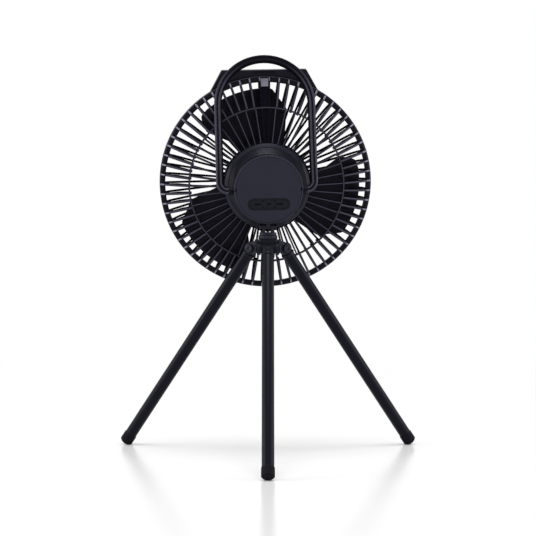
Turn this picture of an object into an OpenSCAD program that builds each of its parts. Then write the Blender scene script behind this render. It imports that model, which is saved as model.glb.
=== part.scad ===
// Portable camping fan on a folding tripod.
// +Z is up and the fan blows towards +Y. The origin is on the floor, under the middle of the
// whole fan, and the legs stand at 120 degrees with one leg pointing straight back (-Y).

/* [Tripod] */
// Distance along a leg from its pivot to its end
leg_length = 229.4; // [180:0.1:260]
// Angle of a spread leg from the vertical, in degrees
leg_splay = 36.5; // [30:0.1:40]
// Outside diameter of a leg tube
leg_tube_d = 10.8; // [10:0.1:11]
// Wall of a leg tube
leg_wall = 0.9; // [0.7:0.1:1.2]
// Distance from the tripod's axis to a leg's pivot
leg_pivot_r = 13.4; // [13.4:0.1:15]
// Distance from a leg's pivot to the middle line of its tube
leg_offset = 2.4; // [2:0.1:2.6]
// Diameter of a rubber foot
foot_d = 11.8; // [11.6:0.1:12.4]
// Height of a leg's end above the floor, inside its foot
foot_lift = 4.2; // [4:0.1:4.3]

/* [Tripod hub] */
// Diameter of the hub's round middle
hub_d = 23.8; // [23.6:0.1:24.4]
// Height of the hub above the leg pivots
hub_high = 8; // [7:0.1:8]
// Depth of the hub below the leg pivots
hub_low = 4.3; // [4:0.1:5]
// Width of a clevis arm over both ears
clevis_w = 20; // [19:0.1:20.5]
// Width of the slot between the ears of an arm
clevis_slot = 13; // [12.6:0.1:13.4]
// Radius of an ear round its pivot
ear_r = 5.4; // [5.2:0.1:5.6]

/* [Rest pose] */
// Height of the tilt axis above the leg pivots
tilt_rise = 18.9; // [18.8:0.1:20]
// Upward tilt of the head at rest, in degrees
rest_tilt = 5.5; // [0:0.5:20]
// Turn of the head on the stud at rest, in degrees
rest_pan = 3.1; // [-5:0.1:5]
// Lean of the fan to one side at rest, in degrees
rest_roll = -1; // [-1.5:0.1:1.5]
// Lean of the handle from the head's vertical, in degrees
rest_lean = 19.1; // [15:0.1:20]

/* [Head] */
// Height of the fan's axis above the tilt axis
axis_rise = 35; // [35:0.1:37]
// Distance of the fan's middle in front of the tilt axis
head_forward = 7.5; // [7.4:0.1:7.7]
// Radius of the housing barrel
barrel_r = 30.2; // [30:0.1:30.3]
// Wall of the housing barrel
barrel_wall = 1.8; // [1.6:0.1:2]
// Radius of the rear cover
cover_r = 30.8; // [30.4:0.1:31]
// Place of the rear cover's outer face along the fan's axis
cover_y = -17.7; // [-18:0.1:-17.5]
// Outside radius of the housing's flared flange
flange_r = 38.6; // [38:0.1:39]

/* [Grilles] */
// Outside radius of both grilles
guard_r = 96.5; // [95:0.5:98]
// Ribs of the rear grille outside its middle ring
outer_ribs = 66; // [60:3:72]
// Ribs of the rear grille inside its middle ring
inner_ribs = 48; // [42:3:54]
// Ribs of the front grille
front_ribs = 66; // [60:3:72]
// Radius of the rear grille's thin middle ring
mid_ring_r = 70; // [66:0.5:74]
// Width of the flat top of the front rim's block
block_w = 77; // [70:1:80]
// Height of the block's flat top above the fan's axis
block_h = 102.1; // [99:0.1:103]

/* [Blade] */
// Radius of the blade tips
blade_r = 85.6; // [80:0.1:87]
// Number of blades
blade_count = 3; // [3:1:3]
// Thickness of a blade
blade_t = 1.8; // [1.4:0.1:2.2]
// Pitch of a blade, in degrees
blade_pitch = 8; // [6:1:10]

/* [Handle] */
// Half of the distance between the handle's arms, middle to middle
handle_half = 42.2; // [42:0.1:43]
// Sideways offset of the arms from the fan's middle
handle_shift = -0.8; // [-0.8:0.1:0.8]
// Distance from the handle's pivots to the middle of its top bar
handle_reach = 121.1; // [119:0.1:122]
// Width of the handle's bar
handle_w = 6.8; // [6:0.1:7]
// Thickness of the handle's bar
handle_t = 5.4; // [5:0.1:6]
// Place of the handle's pivots along the fan's axis
handle_y = -6; // [-7:0.1:-5]
// Drop of the handle's pivots below the fan's axis
handle_drop = 2; // [0:0.1:3]

/* [Controls] */
// Length of the pill-shaped button bezel
bezel_l = 38; // [36:0.1:40]
// Height of the bezel
bezel_h = 10.8; // [10:0.1:11.5]
// Drop of the bezel's middle below the fan's axis
bezel_drop = 12.9; // [12.5:0.1:14]
// Distance between the middles of neighbouring buttons
button_pitch = 11; // [10.8:0.1:11.4]

/* [Hidden] */
$fn = 48;

// Free space between pieces that turn on each other, and beside a running shaft
run = 0.05;
// Smallest overlap that makes a cut go right through
cut = 1;

// Tripod, worked out from the driving dimensions
rear_leg = -90;
right_leg = 30;
left_leg = 150;
leg_angles = [rear_leg, right_leg, left_leg];
pivot_z = foot_lift + leg_length * cos(leg_splay) - leg_offset * sin(leg_splay);
foot_r = leg_pivot_r + leg_length * sin(leg_splay) + leg_offset * cos(leg_splay);
// The feet reach from -foot_r to foot_r / 2, so this centres the fan over the origin
stand_y = foot_r / 4;
arm_low = 0.3 - hub_low;
leg_screw_r = 2;
fitting_r = 4.9;
fitting_w = 12.4;
fitting_shank_r = 5.2;
collar_s = 7.6;
collar_t = 2;
collar_r = 6;
tube_s = collar_s + collar_t;
tube_inner_r = leg_tube_d / 2 - leg_wall;
spigot_end = 22;
foot_sleeve = 7.5;
foot_cap_r = 7.5;
foot_cap_s = 3.7;
tube_end = leg_length - 1.5;
heel_h = 4.5;

// Thumb ring, stud and neck, as heights above the leg pivots
ring_low = hub_high + 0.3;
ring_high = ring_low + 3.2;
ring_r = 8.5;
ring_grooves = 20;
stud_r = 3.175;
stud_top = 12.6;
stud_flange_r = 5;
stud_flange_low = -5.9;
stud_flange_high = -4.6;
neck_low = ring_high + 0.3;
neck_boss_r = 5.8;
neck_boss_low = ring_low + 1.2;
neck_deck = 14;
neck_r = 7.6;
prong_r = 4.4;
prong_w = 10.8;
prong_slot = 4.9;
bolt_r = 1.5;
bolt_head_r = 2.8;
bolt_head_t = 2.1;
nut_r = 3.1;
nut_t = 2.4;
washer_t = 0.42;
washer_r = 3.3;
plunger_r = 1.2;
plunger_top = tilt_rise - 4.3;
tongue_r = 4;
tongue_w = 3.9;
saddle_rear = -3.8;
saddle_l = 10.2;
saddle_w = 20;
saddle_t = 2;
bracket_screw_x = 7.5;

// Housing, along the fan's axis
barrel_inner_r = barrel_r - barrel_wall;
barrel_rear = cover_y + 2.5;
cone_rear = -2;
cone_front = 5.4;
cone_r = 35.2;
flange_front = 10.5;
bulkhead_rear = 7;
bulkhead_front = 9.5;
boss_r = 5.5;
boss_front = 21;
bearing_r = 4;
bearing_t = 3;
shaft_r = 1.5;
cover_t = 2.3;
skirt_r = 28.2;
skirt_inner_r = 26.4;
skirt_front = -11.8;
bezel_recess = 0.6;
button_w = 10.5;
button_h = 6.8;
button_corner = 1.5;
button_front = -13.4;
board_r = 26;
board_rear = -11.3;
board_t = 1.5;
switch_t = 1.4;
pipe_r = 0.55;
pipe_pitch = 2.2;
pipe_drop = 3.4;
cell_w = 40;
cell_h = 30;
cell_t = 6.2;
cell_gap = 0.3;
cell_corner = 3;
cells_rear = -7.2;
tray_wall = 1.1;
tray_r = 23.6;
tray_rear = -9.1;
tray_plate = 1.4;

// Charging port, on the lower right of the barrel
port_angle = 52;
port_y = -7.6;
port_w = 9;
port_h = 3.3;
port_depth = 5;
flap_w = 13;
flap_l = 7.6;
flap_t = 1.2;
flap_bead_r = 0.75;
// Turn from the middle of the flap to its hinge, in degrees
flap_hinge = 11.9;

// Motor and impeller, along the fan's axis
core_rear = 11;
core_front = 17.5;
core_r = 8;
teeth = 9;
tooth_r = 12.6;
tooth_w = 2;
tooth_tip_w = 6;
tooth_inset = 0.2;
bell_rear = 10.8;
bell_web = 21.4;
bell_front = 23;
bell_r = 16;
bell_inner_r = 14.6;
magnet_inner_r = 13.2;
blade_hub_r = 22;
blade_hub_rear = 16;
blade_hub_front = 46;
blade_hub_wall = 2;
blade_mid = 38.2;
blade_camber_r = 300;
nut_rear = 46.2;
nut_front = 51;
shaft_front = 50;
shaft_rear = 6.7;

// Rear grille: each rib follows one arc in the plane through the fan's axis
dish_r = 104;
dish_centre_r = 25.9;
dish_centre_y = 113.2;
rib_depth = 5.5;
// The ribs keep clear of the blades: inside this radius they end at this place along the axis
sweep_r = 88;
sweep_y = 33;
rib_w_outer = 2.2;
rib_w_inner = 1.5;
rim_rear = 36.4;
rim_seam = 40;
rim_inner_r = 91.3;
plate_inner_r = 17;
plate_r = 40.2;
plate_t = 2;
rib_start = flange_r + 0.3;
mid_ring_w = 1.6;
mid_ring_t = 2.6;
strut_w_outer = 10.8;
strut_w_inner = 5;
grille_screw_r = 30;
grille_screw_count = 4;
latch_w = 7.4;
latch_low = 88;
latch_high = 94.8;
latch_front = rim_rear + 0.8;

// Front grille
front_gap = 0.2;
front_rim_front = 45.5;
front_rim_inner_r = 92.5;
corner_r = 12;
front_rib_w = 1.8;
front_rib_depth = 2.8;
front_face_edge = 84.5;
front_face_y = 52.5;
front_hub_y = 56;
front_hub_r = 21;
badge_r = 18;
badge_t = 2;
block_rear = 40.6;
block_front = 49.5;
block_foot_w = 99;
block_foot_h = 82;

// Handle
handle_arch_y = handle_reach - handle_half;
handle_corner_r = 7.5;
handle_boss_x = 31;
handle_boss_r = 3.6;
groove_w = 2;
groove_depth = 1.2;
handle_screw_r = 2;
handle_screw_head_r = 3.6;
handle_screw_head_t = 1.4;
handle_washer_t = 0.5;
handle_washer_x = 27.1;

// ---- Frames -------------------------------------------------------------------------------

// The tripod's frame: its axis upright over the floor, with the leg pivots at z = 0
module tripod_frame() translate([0, stand_y, pivot_z]) children();

// The tilt axis's frame, turned with the neck but not tilted
module neck_frame() tripod_frame() rotate([0, 0, rest_pan]) children();

// The head's frame: the origin on the tilt axis, y along the fan's axis
module head_frame() neck_frame() translate([0, 0, tilt_rise]) rotate([rest_tilt, 0, 0]) children();

// The fan's own frame: the origin in its middle, y along its axis and z upwards
module fan_frame() head_frame() translate([0, head_forward, axis_rise]) rotate([0, rest_roll, 0]) children();

// The fan's axis as z, pointing forwards, with local -y upwards
module fan_axis() fan_frame() rotate([-90, 0, 0]) children();

// Turn to a clock angle, counted anticlockwise from +x as seen from behind the fan
module at_angle(angle) rotate([0, 0, -angle]) children();

// A leg pivot, with x pointing away from the tripod's axis
module leg_pivot(angle) tripod_frame() rotate([0, 0, angle]) translate([leg_pivot_r, 0, 0]) children();

// A spread leg, with z down the leg from its pivot
module leg_frame(angle) leg_pivot(angle) rotate([0, 180 - leg_splay, 0]) children();

// The middle line of a leg's tube, beside its pivot
module tube_frame(angle) leg_frame(angle) translate([-leg_offset, 0, 0]) children();

// The handle's frame: the origin between its pivots, y up the arms
module handle_frame() fan_frame() translate([0, handle_y, -handle_drop]) rotate([90 - rest_lean, 0, 0]) children();

// ---- Shared shapes ------------------------------------------------------------------------

// A ring or tube standing on z = low
module ring(r_out, r_in, low, high) translate([0, 0, low]) difference() {
    cylinder(r = r_out, h = high - low);
    translate([0, 0, -cut]) cylinder(r = r_in, h = high - low + 2 * cut);
}

// A disc or shaft standing on z = low
module rod(r, low, high) translate([0, 0, low]) cylinder(r = r, h = high - low);

// A flat rectangle with round corners, centred
module round_rect(w, h, r) {
    square([w - 2 * r, h], center = true);
    square([w, h - 2 * r], center = true);
    for (x = [-1, 1], y = [-1, 1])
        translate([x * (w / 2 - r), y * (h / 2 - r)]) circle(r = r);
}

// Lay a shape drawn in (radius, height) on edge as a plate of width w, standing along x
module radial_plate(w) rotate([90, 0, 0]) translate([0, 0, -w / 2]) linear_extrude(w) children();

// ---- Tripod -------------------------------------------------------------------------------

module tripod_hub() color("dimgray") tripod_frame() difference() {
    union() {
        rod(hub_d / 2, -hub_low, hub_high + 0.5);
        // Arms that slope down from the middle to their ears
        for (angle = leg_angles) rotate([0, 0, angle]) radial_plate(clevis_w) polygon([
            [0, arm_low], [0, hub_high + 0.9], [2, hub_high + 0.9],
            [leg_pivot_r + 2.1, ear_r - 0.8], [leg_pivot_r + 2.1, 0], [leg_pivot_r, arm_low]
        ]);
        for (angle = leg_angles) rotate([0, 0, angle]) translate([leg_pivot_r, 0, 0]) rotate([90, 0, 0])
            cylinder(r = ear_r, h = clevis_w, center = true);
    }
    for (angle = leg_angles) rotate([0, 0, angle]) {
        translate([leg_pivot_r - fitting_r - 0.6, -clevis_slot / 2, -hub_low - 3])
            cube([20, clevis_slot, hub_low + hub_high + 5]);
        translate([leg_pivot_r, 0, 0]) rotate([90, 0, 0])
            cylinder(r = leg_screw_r + run, h = clevis_w + 2 * cut, center = true);
    }
    rod(stud_r + run, -hub_low - cut, hub_high + cut);
    rod(2 * hub_d, hub_high, hub_high + 5);
}

module leg_screws() color("gray") for (angle = leg_angles) leg_pivot(angle) rotate([-90, 0, 0]) difference() {
    union() {
        rod(leg_screw_r, -clevis_w / 2 - 1, clevis_w / 2 + 0.1);
        rod(3.5, clevis_w / 2 + 0.1, clevis_w / 2 + 1.6);
    }
    translate([0, 0, clevis_w / 2 + 0.7]) cylinder(r = 1.3, h = 3, $fn = 6);
}

module leg_nuts() color("gray") for (angle = leg_angles) leg_pivot(angle) rotate([-90, 0, 0])
    ring(3.5, leg_screw_r, -clevis_w / 2 - 1.7, -clevis_w / 2 - 0.1);

module leg_fitting(angle) color("dimgray") difference() {
    union() {
        leg_frame(angle) rotate([90, 0, 0]) cylinder(r = fitting_r, h = fitting_w, center = true);
        // The shank, with its top cut aslant behind the barrel
        intersection() {
            tube_frame(angle) rod(fitting_shank_r, -6, collar_s);
            leg_frame(angle) rotate([90, 0, 0]) translate([0, 0, -10]) linear_extrude(20)
                polygon([[-9, 3.4], [-3.2, -3.4], [4, -3.4], [4, 9], [-9, 9]]);
        }
        tube_frame(angle) rod(tube_inner_r, collar_s - 0.5, spigot_end);
        leg_pivot(angle) translate([-fitting_r + 0.1, -fitting_w / 2 + 1, 0])
            cube([fitting_r - 0.1, fitting_w - 2, heel_h]);
    }
    leg_pivot(angle) rotate([90, 0, 0]) cylinder(r = leg_screw_r + run, h = fitting_w + 2 * cut, center = true);
}

module leg_collar(angle) color("silver") tube_frame(angle) ring(collar_r, tube_inner_r, collar_s, tube_s);

module leg_tube(angle) color("#232329") tube_frame(angle) ring(leg_tube_d / 2, tube_inner_r, tube_s, tube_end);

module leg_foot(angle) color("#161618") difference() {
    // A short sleeve with a low domed end
    tube_frame(angle) intersection() {
        rod(foot_d / 2, leg_length - foot_sleeve, leg_length + foot_d);
        translate([0, 0, leg_length - foot_cap_s]) sphere(r = foot_cap_r);
    }
    tube_frame(angle) rod(leg_tube_d / 2, leg_length - foot_sleeve - cut, tube_end);
    translate([-2 * foot_r, -2 * foot_r, -2 * foot_d]) cube([4 * foot_r, 4 * foot_r, 2 * foot_d]);
}

module thumb_ring() color("silver") tripod_frame() difference() {
    ring(ring_r, stud_r, ring_low, ring_high);
    // Recess that the neck's boss stands in
    rod(neck_boss_r + 0.3, neck_boss_low - 0.2, ring_high + cut);
    for (i = [0:ring_grooves - 1]) rotate([0, 0, i * 360 / ring_grooves])
        translate([ring_r + 0.3, 0, 0]) rod(0.8, ring_low - cut, ring_high + cut);
}

module thumb_stud() color("silver") tripod_frame() {
    rod(stud_r, stud_flange_high - 0.5, stud_top);
    rod(stud_flange_r, stud_flange_low, stud_flange_high);
}

// ---- Neck and tilt ------------------------------------------------------------------------

module neck() color("#2b2b31") neck_frame() difference() {
    union() {
        rod(neck_r, neck_low, neck_deck);
        rod(neck_boss_r, neck_boss_low, neck_low + 0.5);
        translate([-prong_w / 2, -prong_r, neck_deck - 0.5])
            cube([prong_w, 2 * prong_r, tilt_rise - neck_deck + 0.5]);
        translate([0, 0, tilt_rise]) rotate([0, 90, 0]) cylinder(r = prong_r, h = prong_w, center = true);
    }
    translate([-prong_slot / 2, -neck_r, neck_deck]) cube([prong_slot, 2 * neck_r, 20]);
    rod(stud_r + run, neck_boss_low - cut, stud_top + 0.2);
    rod(plunger_r, neck_deck - 0.6, neck_deck + cut);
    translate([0, 0, tilt_rise]) rotate([0, 90, 0]) cylinder(r = bolt_r + run, h = 2 * prong_w, center = true);
}

module tilt_bolt() color("silver") neck_frame() translate([0, 0, tilt_rise]) rotate([0, 90, 0]) difference() {
    union() {
        rod(bolt_r, -prong_w / 2 - nut_t - 0.3, prong_w / 2 + 0.1);
        rod(bolt_head_r, prong_w / 2 + 0.1, prong_w / 2 + 0.1 + bolt_head_t);
    }
    translate([0, 0, prong_w / 2 + 1]) cylinder(r = 1.2, h = 4, $fn = 6);
}

module tilt_nut() color("silver") neck_frame() translate([0, 0, tilt_rise]) rotate([0, 90, 0])
    translate([0, 0, -prong_w / 2 - 0.1 - nut_t]) difference() {
        cylinder(r = nut_r, h = nut_t, $fn = 6);
        translate([0, 0, -cut]) cylinder(r = bolt_r, h = nut_t + 2 * cut);
    }

module tilt_washers() color("silver") neck_frame() translate([0, 0, tilt_rise]) rotate([0, 90, 0])
    for (side = [0, 1]) mirror([0, 0, side])
        ring(washer_r, bolt_r + run, prong_slot / 2 - washer_t, prong_slot / 2);

module tilt_plunger() color("silver") neck_frame() rod(plunger_r, neck_deck - 0.6, plunger_top);

module tilt_bracket() color("gray") head_frame() difference() {
    union() {
        rotate([0, 90, 0]) cylinder(r = tongue_r, h = tongue_w, center = true);
        translate([-tongue_w / 2, -tongue_r, 0])
            cube([tongue_w, 2 * tongue_r, axis_rise - barrel_inner_r + 1]);
        intersection() {
            translate([0, saddle_rear, axis_rise]) rotate([-90, 0, 0])
                ring(barrel_inner_r - 0.05, barrel_inner_r - saddle_t, 0, saddle_l);
            translate([-saddle_w / 2, saddle_rear, 0]) cube([saddle_w, saddle_l, 20]);
        }
    }
    rotate([0, 90, 0]) cylinder(r = bolt_r + run, h = 2 * tongue_w, center = true);
    for (x = [-1, 1]) translate([x * bracket_screw_x, 0, 0]) cylinder(r = 1.25, h = 20);
}

module bracket_screws() color("silver") head_frame() for (x = [-1, 1])
    translate([x * bracket_screw_x, 0, axis_rise - barrel_inner_r]) {
        rod(1.2, -0.2, 3.9);
        rod(2.2, 3.9, 5.1);
    }

// ---- Housing ------------------------------------------------------------------------------

// Half section of the housing, as (radius, place along the axis)
module housing_section() difference() {
    // A straight barrel, a cone, a fine groove and a bevelled ring
    polygon([
        [0, barrel_rear], [barrel_r, barrel_rear], [barrel_r, cone_rear], [cone_r, cone_front],
        [cone_r - 0.6, cone_front + 0.3], [cone_r - 0.6, cone_front + 0.9], [cone_r + 0.3, cone_front + 0.9],
        [flange_r - 0.4, flange_front - 1.9], [flange_r, flange_front - 1.3], [flange_r, flange_front],
        [0, flange_front]
    ]);
    translate([-cut, barrel_rear - cut]) square([barrel_inner_r + cut, bulkhead_rear - barrel_rear + cut]);
    // A lip stands round the flange's front
    translate([boss_r, bulkhead_front]) square([flange_r - 1.6 - boss_r, flange_front]);
}

module housing() color("#26262c") difference() {
    fan_axis() {
        difference() {
            rotate_extrude() housing_section();
            rod(bearing_r, bulkhead_rear - cut, flange_front + cut);
        }
        difference() {
            rod(boss_r, bulkhead_front - 0.5, boss_front);
            rod(bearing_r - 1.2, bulkhead_rear - cut, boss_front + cut);
            rod(bearing_r, bulkhead_rear - cut, bulkhead_rear + bearing_t + 0.1);
            rod(bearing_r, boss_front - bearing_t - 0.1, boss_front + cut);
        }
    }
    // Slot for the tilt bracket's tongue
    head_frame() translate([-tongue_w / 2 - 0.1, -tongue_r - 0.1, 0])
        cube([tongue_w + 0.2, 2 * tongue_r + 0.2, axis_rise - barrel_inner_r + 2]);
    head_frame() for (x = [-1, 1]) translate([x * bracket_screw_x, 0, axis_rise - barrel_inner_r - 0.2])
        cylinder(r = 1.2, h = 6);
    // Holes that the handle's screws turn in
    fan_frame() translate([0, handle_y, -handle_drop]) rotate([0, 90, 0])
        cylinder(r = handle_screw_r + run, h = 2 * barrel_r + 4, center = true);
    port_frame() translate([0, 0, -4]) linear_extrude(8) round_rect(port_w + 0.4, port_h + 0.4, 1.5);
    fan_axis() for (i = [0:grille_screw_count - 1]) at_angle(45 + i * 90) translate([grille_screw_r, 0, 0])
        rod(1.2, bulkhead_rear - cut, flange_front + cut);
}

module rear_cover() color("#2d2d37") difference() {
    fan_axis() {
        rod(cover_r, cover_y + 0.8, cover_y + cover_t);
        rod(cover_r - 0.8, cover_y, cover_y + cover_t);
        ring(skirt_r, skirt_inner_r, cover_y + cover_t - 0.5, skirt_front);
    }
    bezel_frame() translate([0, 0, -cut]) linear_extrude(10) round_rect(bezel_l, bezel_h, bezel_h / 2 - 0.01);
    pipe_places() rod(pipe_r, -cut, 10);
    // Pry notches in the edge
    for (side = [0, 180]) fan_axis() at_angle(side) translate([cover_r - 1.2, -1.5, cover_y - cut])
        cube([3, 3, cut + 1.2]);
}

// The bezel's middle on the rear cover's face, with z going inwards
module bezel_frame() fan_axis() translate([0, bezel_drop, cover_y]) children();

module pipe_places() fan_axis() for (i = [-1.5:1:1.5]) translate([i * pipe_pitch, pipe_drop, cover_y]) children();

module button_outline(gap) round_rect(button_w + 2 * gap, button_h + 2 * gap, button_corner + gap);

module button_bezel() color("#1f1f24") bezel_frame() difference() {
    union() {
        translate([0, 0, bezel_recess]) linear_extrude(cover_t - bezel_recess)
            round_rect(bezel_l - 0.1, bezel_h - 0.1, bezel_h / 2 - 0.1);
        translate([0, 0, cover_t]) linear_extrude(1) round_rect(bezel_l + 2, bezel_h + 1.6, bezel_h / 2);
    }
    for (i = [-1:1]) translate([i * button_pitch, 0, -cut]) linear_extrude(10) button_outline(0.25);
}

module button(i) color("#25252b") bezel_frame() translate([i * button_pitch, 0, 0])
    translate([0, 0, bezel_recess]) linear_extrude(button_front - cover_y - bezel_recess) button_outline(0);

module light_pipes() color("white") pipe_places() rod(pipe_r, 0.1, board_rear - cover_y - 0.5);

module control_board() color("darkgreen") fan_axis() difference() {
    rod(board_r, board_rear, board_rear + board_t);
    for (side = [0, 180]) at_angle(side) translate([board_r, 0, 0]) rod(1.5, board_rear - cut, board_rear + 3);
}

module dome_switches() color("silver") bezel_frame() for (i = [-1:1]) translate([i * button_pitch, 0, 0])
    rod(2.6, board_rear - cover_y - switch_t, board_rear - cover_y);

// The charging port's frame: z points out of the barrel, x along its wall and y along the fan's axis
module port_frame() fan_axis() at_angle(-port_angle) translate([barrel_r, 0, port_y])
    rotate([0, 90, 0]) rotate([0, 0, 90]) children();

module charging_socket() color("silver") port_frame() translate([0, 0, -port_depth - 0.6]) difference() {
    linear_extrude(port_depth) round_rect(port_w - 0.1, port_h - 0.1, 1.5);
    translate([0, 0, 1]) linear_extrude(port_depth) round_rect(port_w - 0.8, port_h - 0.8, 1.2);
}

module port_flap() color("#161618") {
    intersection() {
        fan_axis() ring(barrel_r + 0.3 + flap_t, barrel_r + 0.3, port_y - flap_l / 2, port_y + flap_l / 2);
        port_frame() translate([0, 0, -4]) linear_extrude(10) round_rect(flap_w, flap_l + 1, 0.6);
    }
    // The round bead that the flap turns on, along its edge nearest the side
    fan_axis() at_angle(flap_hinge - port_angle) translate([barrel_r + 0.3 + flap_t / 2, 0, 0])
        rod(flap_bead_r, port_y - flap_l / 2 + 0.3, port_y + flap_l / 2 - 0.3);
}

module cell_outline(grow) round_rect(cell_w + 2 * grow, cell_h + 2 * grow, cell_corner + grow);

module battery_tray() color("darkslategray") fan_axis() difference() {
    union() {
        rod(tray_r, tray_rear, tray_rear + tray_plate);
        translate([0, 0, tray_rear + tray_plate - 0.3]) linear_extrude(8) cell_outline(0.1 + tray_wall);
    }
    translate([0, 0, cells_rear - 0.1]) linear_extrude(20) cell_outline(0.1);
    rod(3, tray_rear - cut, 0);
}

module battery_cells() color("steelblue") fan_axis() for (i = [0, 1])
    translate([0, 0, cells_rear + i * (cell_t + cell_gap)]) linear_extrude(cell_t - 0.1) cell_outline(0);

// ---- Motor and impeller ---------------------------------------------------------------------

module motor_core() color("gray") fan_axis() {
    ring(core_r, boss_r, core_rear, core_front);
    for (i = [0:teeth - 1]) rotate([0, 0, i * 360 / teeth])
        translate([0, 0, core_rear + tooth_inset]) linear_extrude(core_front - core_rear - 2 * tooth_inset) polygon([
            [core_r - 0.5, -tooth_w / 2], [tooth_r - 1, -tooth_w / 2], [tooth_r - 1, -tooth_tip_w / 2],
            [tooth_r, -tooth_tip_w / 2], [tooth_r, tooth_tip_w / 2], [tooth_r - 1, tooth_tip_w / 2],
            [tooth_r - 1, tooth_w / 2], [core_r - 0.5, tooth_w / 2]
        ]);
}

module motor_windings() color("peru") fan_axis() for (i = [0:teeth - 1]) rotate([0, 0, i * 360 / teeth])
    translate([core_r + 0.3, 0, 0]) difference() {
        translate([0, -2, core_rear - 0.6]) cube([3, 4, core_front - core_rear + 1.2]);
        translate([-cut, -tooth_w / 2 - 0.05, core_rear - 0.05])
            cube([3 + 2 * cut, tooth_w + 0.1, core_front - core_rear + 0.1]);
    }

module motor_bearings() color("silver") fan_axis() {
    ring(bearing_r, shaft_r + run, bulkhead_rear + 0.05, bulkhead_rear + bearing_t);
    ring(bearing_r, shaft_r + run, boss_front - bearing_t, boss_front);
}

module rotor_shaft() color("silver") fan_axis() rod(shaft_r, shaft_rear, shaft_front);

module rotor_bell() color("gray") fan_axis() {
    ring(bell_r, bell_inner_r, bell_rear, bell_front);
    ring(bell_inner_r + 0.3, shaft_r, bell_web, bell_front);
}

module rotor_magnets() color("dimgray") fan_axis() ring(bell_inner_r, magnet_inner_r, core_rear, core_front);

// Outline of one swept blade, as (radius, angle) from behind the fan, counted from its leading side
blade_points = [
    [10, 60], [39, 63], [70, 73], [76, 79], [84, 85], [95, 88],
    [95, 131], [84, 133.5], [80, 135.5], [71, 138.5], [57, 134], [51, 131], [39, 130], [10, 132]
];
blade_line = 102;

module blade_outline() intersection() {
    circle(r = blade_r);
    polygon([for (p = blade_points) [p[0] * cos(blade_line - p[1]), p[0] * sin(blade_line - p[1])]]);
}

// A thin sheet, hollow towards the front and tilted so that its leading side is at the rear
module blade_sheet() translate([0, 0, blade_mid]) rotate([blade_pitch, 0, 0])
    translate([0, 0, blade_camber_r]) rotate([0, 90, 0]) difference() {
        cylinder(r = blade_camber_r + blade_t / 2, h = blade_r + cut);
        translate([0, 0, -cut]) cylinder(r = blade_camber_r - blade_t / 2, h = blade_r + 3 * cut);
    }

module blade() color("#19191c") fan_axis() difference() {
    union() {
        rod(blade_hub_r, blade_hub_rear, blade_hub_front);
        for (i = [0:blade_count - 1]) at_angle(blade_line + i * 360 / blade_count) intersection() {
            blade_sheet();
            translate([0, 0, 20]) linear_extrude(40) blade_outline();
        }
    }
    rod(bell_r + 0.1, blade_hub_rear - cut, bell_front);
    ring(blade_hub_r - blade_hub_wall, 4, bell_front + 2, blade_hub_front - 2);
    rod(shaft_r, 0, 70);
}

module blade_nut() color("gray") fan_axis() translate([0, 0, nut_rear]) difference() {
    union() {
        cylinder(r = 6, h = nut_front - nut_rear, $fn = 6);
        cylinder(r = 7, h = 1.5);
    }
    translate([0, 0, -cut]) cylinder(r = shaft_r, h = shaft_front - nut_rear + cut);
}

// ---- Grilles --------------------------------------------------------------------------------

// The band that every rear rib follows, as (radius, place along the axis)
module dish_band(depth) difference() {
    translate([dish_centre_r, dish_centre_y]) circle(r = dish_r);
    translate([dish_centre_r, dish_centre_y]) circle(r = dish_r - depth);
}

module rear_rib(from, to, w) radial_plate(w) intersection() {
    dish_band(rib_depth);
    union() {
        translate([from, 0]) square([to - from, sweep_y]);
        if (to > sweep_r) translate([sweep_r, 0]) square([to - sweep_r, rim_seam - 0.1]);
    }
}

// A rib outside the middle ring gets deeper towards the rim, where it fills the guard's depth
module outer_rib() radial_plate(rib_w_outer) intersection() {
    translate([dish_centre_r, dish_centre_y]) circle(r = dish_r);
    polygon([
        [mid_ring_r + 0.1, 0], [guard_r - 0.3, 0], [guard_r - 0.3, rim_seam - 0.1], [sweep_r, rim_seam - 0.1],
        [sweep_r, sweep_y], [mid_ring_r + 10, sweep_y], [mid_ring_r + 0.1, sweep_y - 8]
    ]);
}

// Place of the dish's rear surface at radius r
function dish_y(r) = dish_centre_y - sqrt(pow(dish_r, 2) - pow(r - dish_centre_r, 2));

// The middle ring stands just proud of the ribs that end in it
mid_ring_rear = dish_y(mid_ring_r - mid_ring_w / 2) - 0.1;

module rear_grille() color("#1e1e23") fan_axis() difference() {
    union() {
        ring(plate_r, plate_inner_r, flange_front + 0.1, flange_front + 0.1 + plate_t);
        ring(mid_ring_r + mid_ring_w / 2, mid_ring_r - mid_ring_w / 2, mid_ring_rear, mid_ring_rear + mid_ring_t);
        ring(guard_r, rim_inner_r, rim_rear, rim_seam);
        // The strut at the top stands in for one inner rib and two outer ribs
        for (i = [1:outer_ribs - 2]) at_angle(90 + (i + 0.5) * 360 / outer_ribs)
            outer_rib();
        for (i = [1:inner_ribs - 1]) at_angle(90 + i * 360 / inner_ribs)
            rear_rib(rib_start, mid_ring_r - 0.1, rib_w_inner);
        at_angle(90) intersection() {
            rear_rib(rib_start, guard_r - 0.3, strut_w_outer);
            linear_extrude(60) polygon([
                [plate_r - 3, -strut_w_inner / 2], [guard_r, -strut_w_outer / 2],
                [guard_r, strut_w_outer / 2], [plate_r - 3, strut_w_inner / 2]
            ]);
        }
    }
    for (i = [0:grille_screw_count - 1]) at_angle(45 + i * 90) translate([grille_screw_r, 0, 0])
        rod(1.25, 0, 20);
    at_angle(90) translate([latch_low - 0.1, -latch_w / 2 - 0.1, 0])
        cube([latch_high + 0.7 - latch_low, latch_w + 0.2, latch_front + 0.1]);
}

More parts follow.
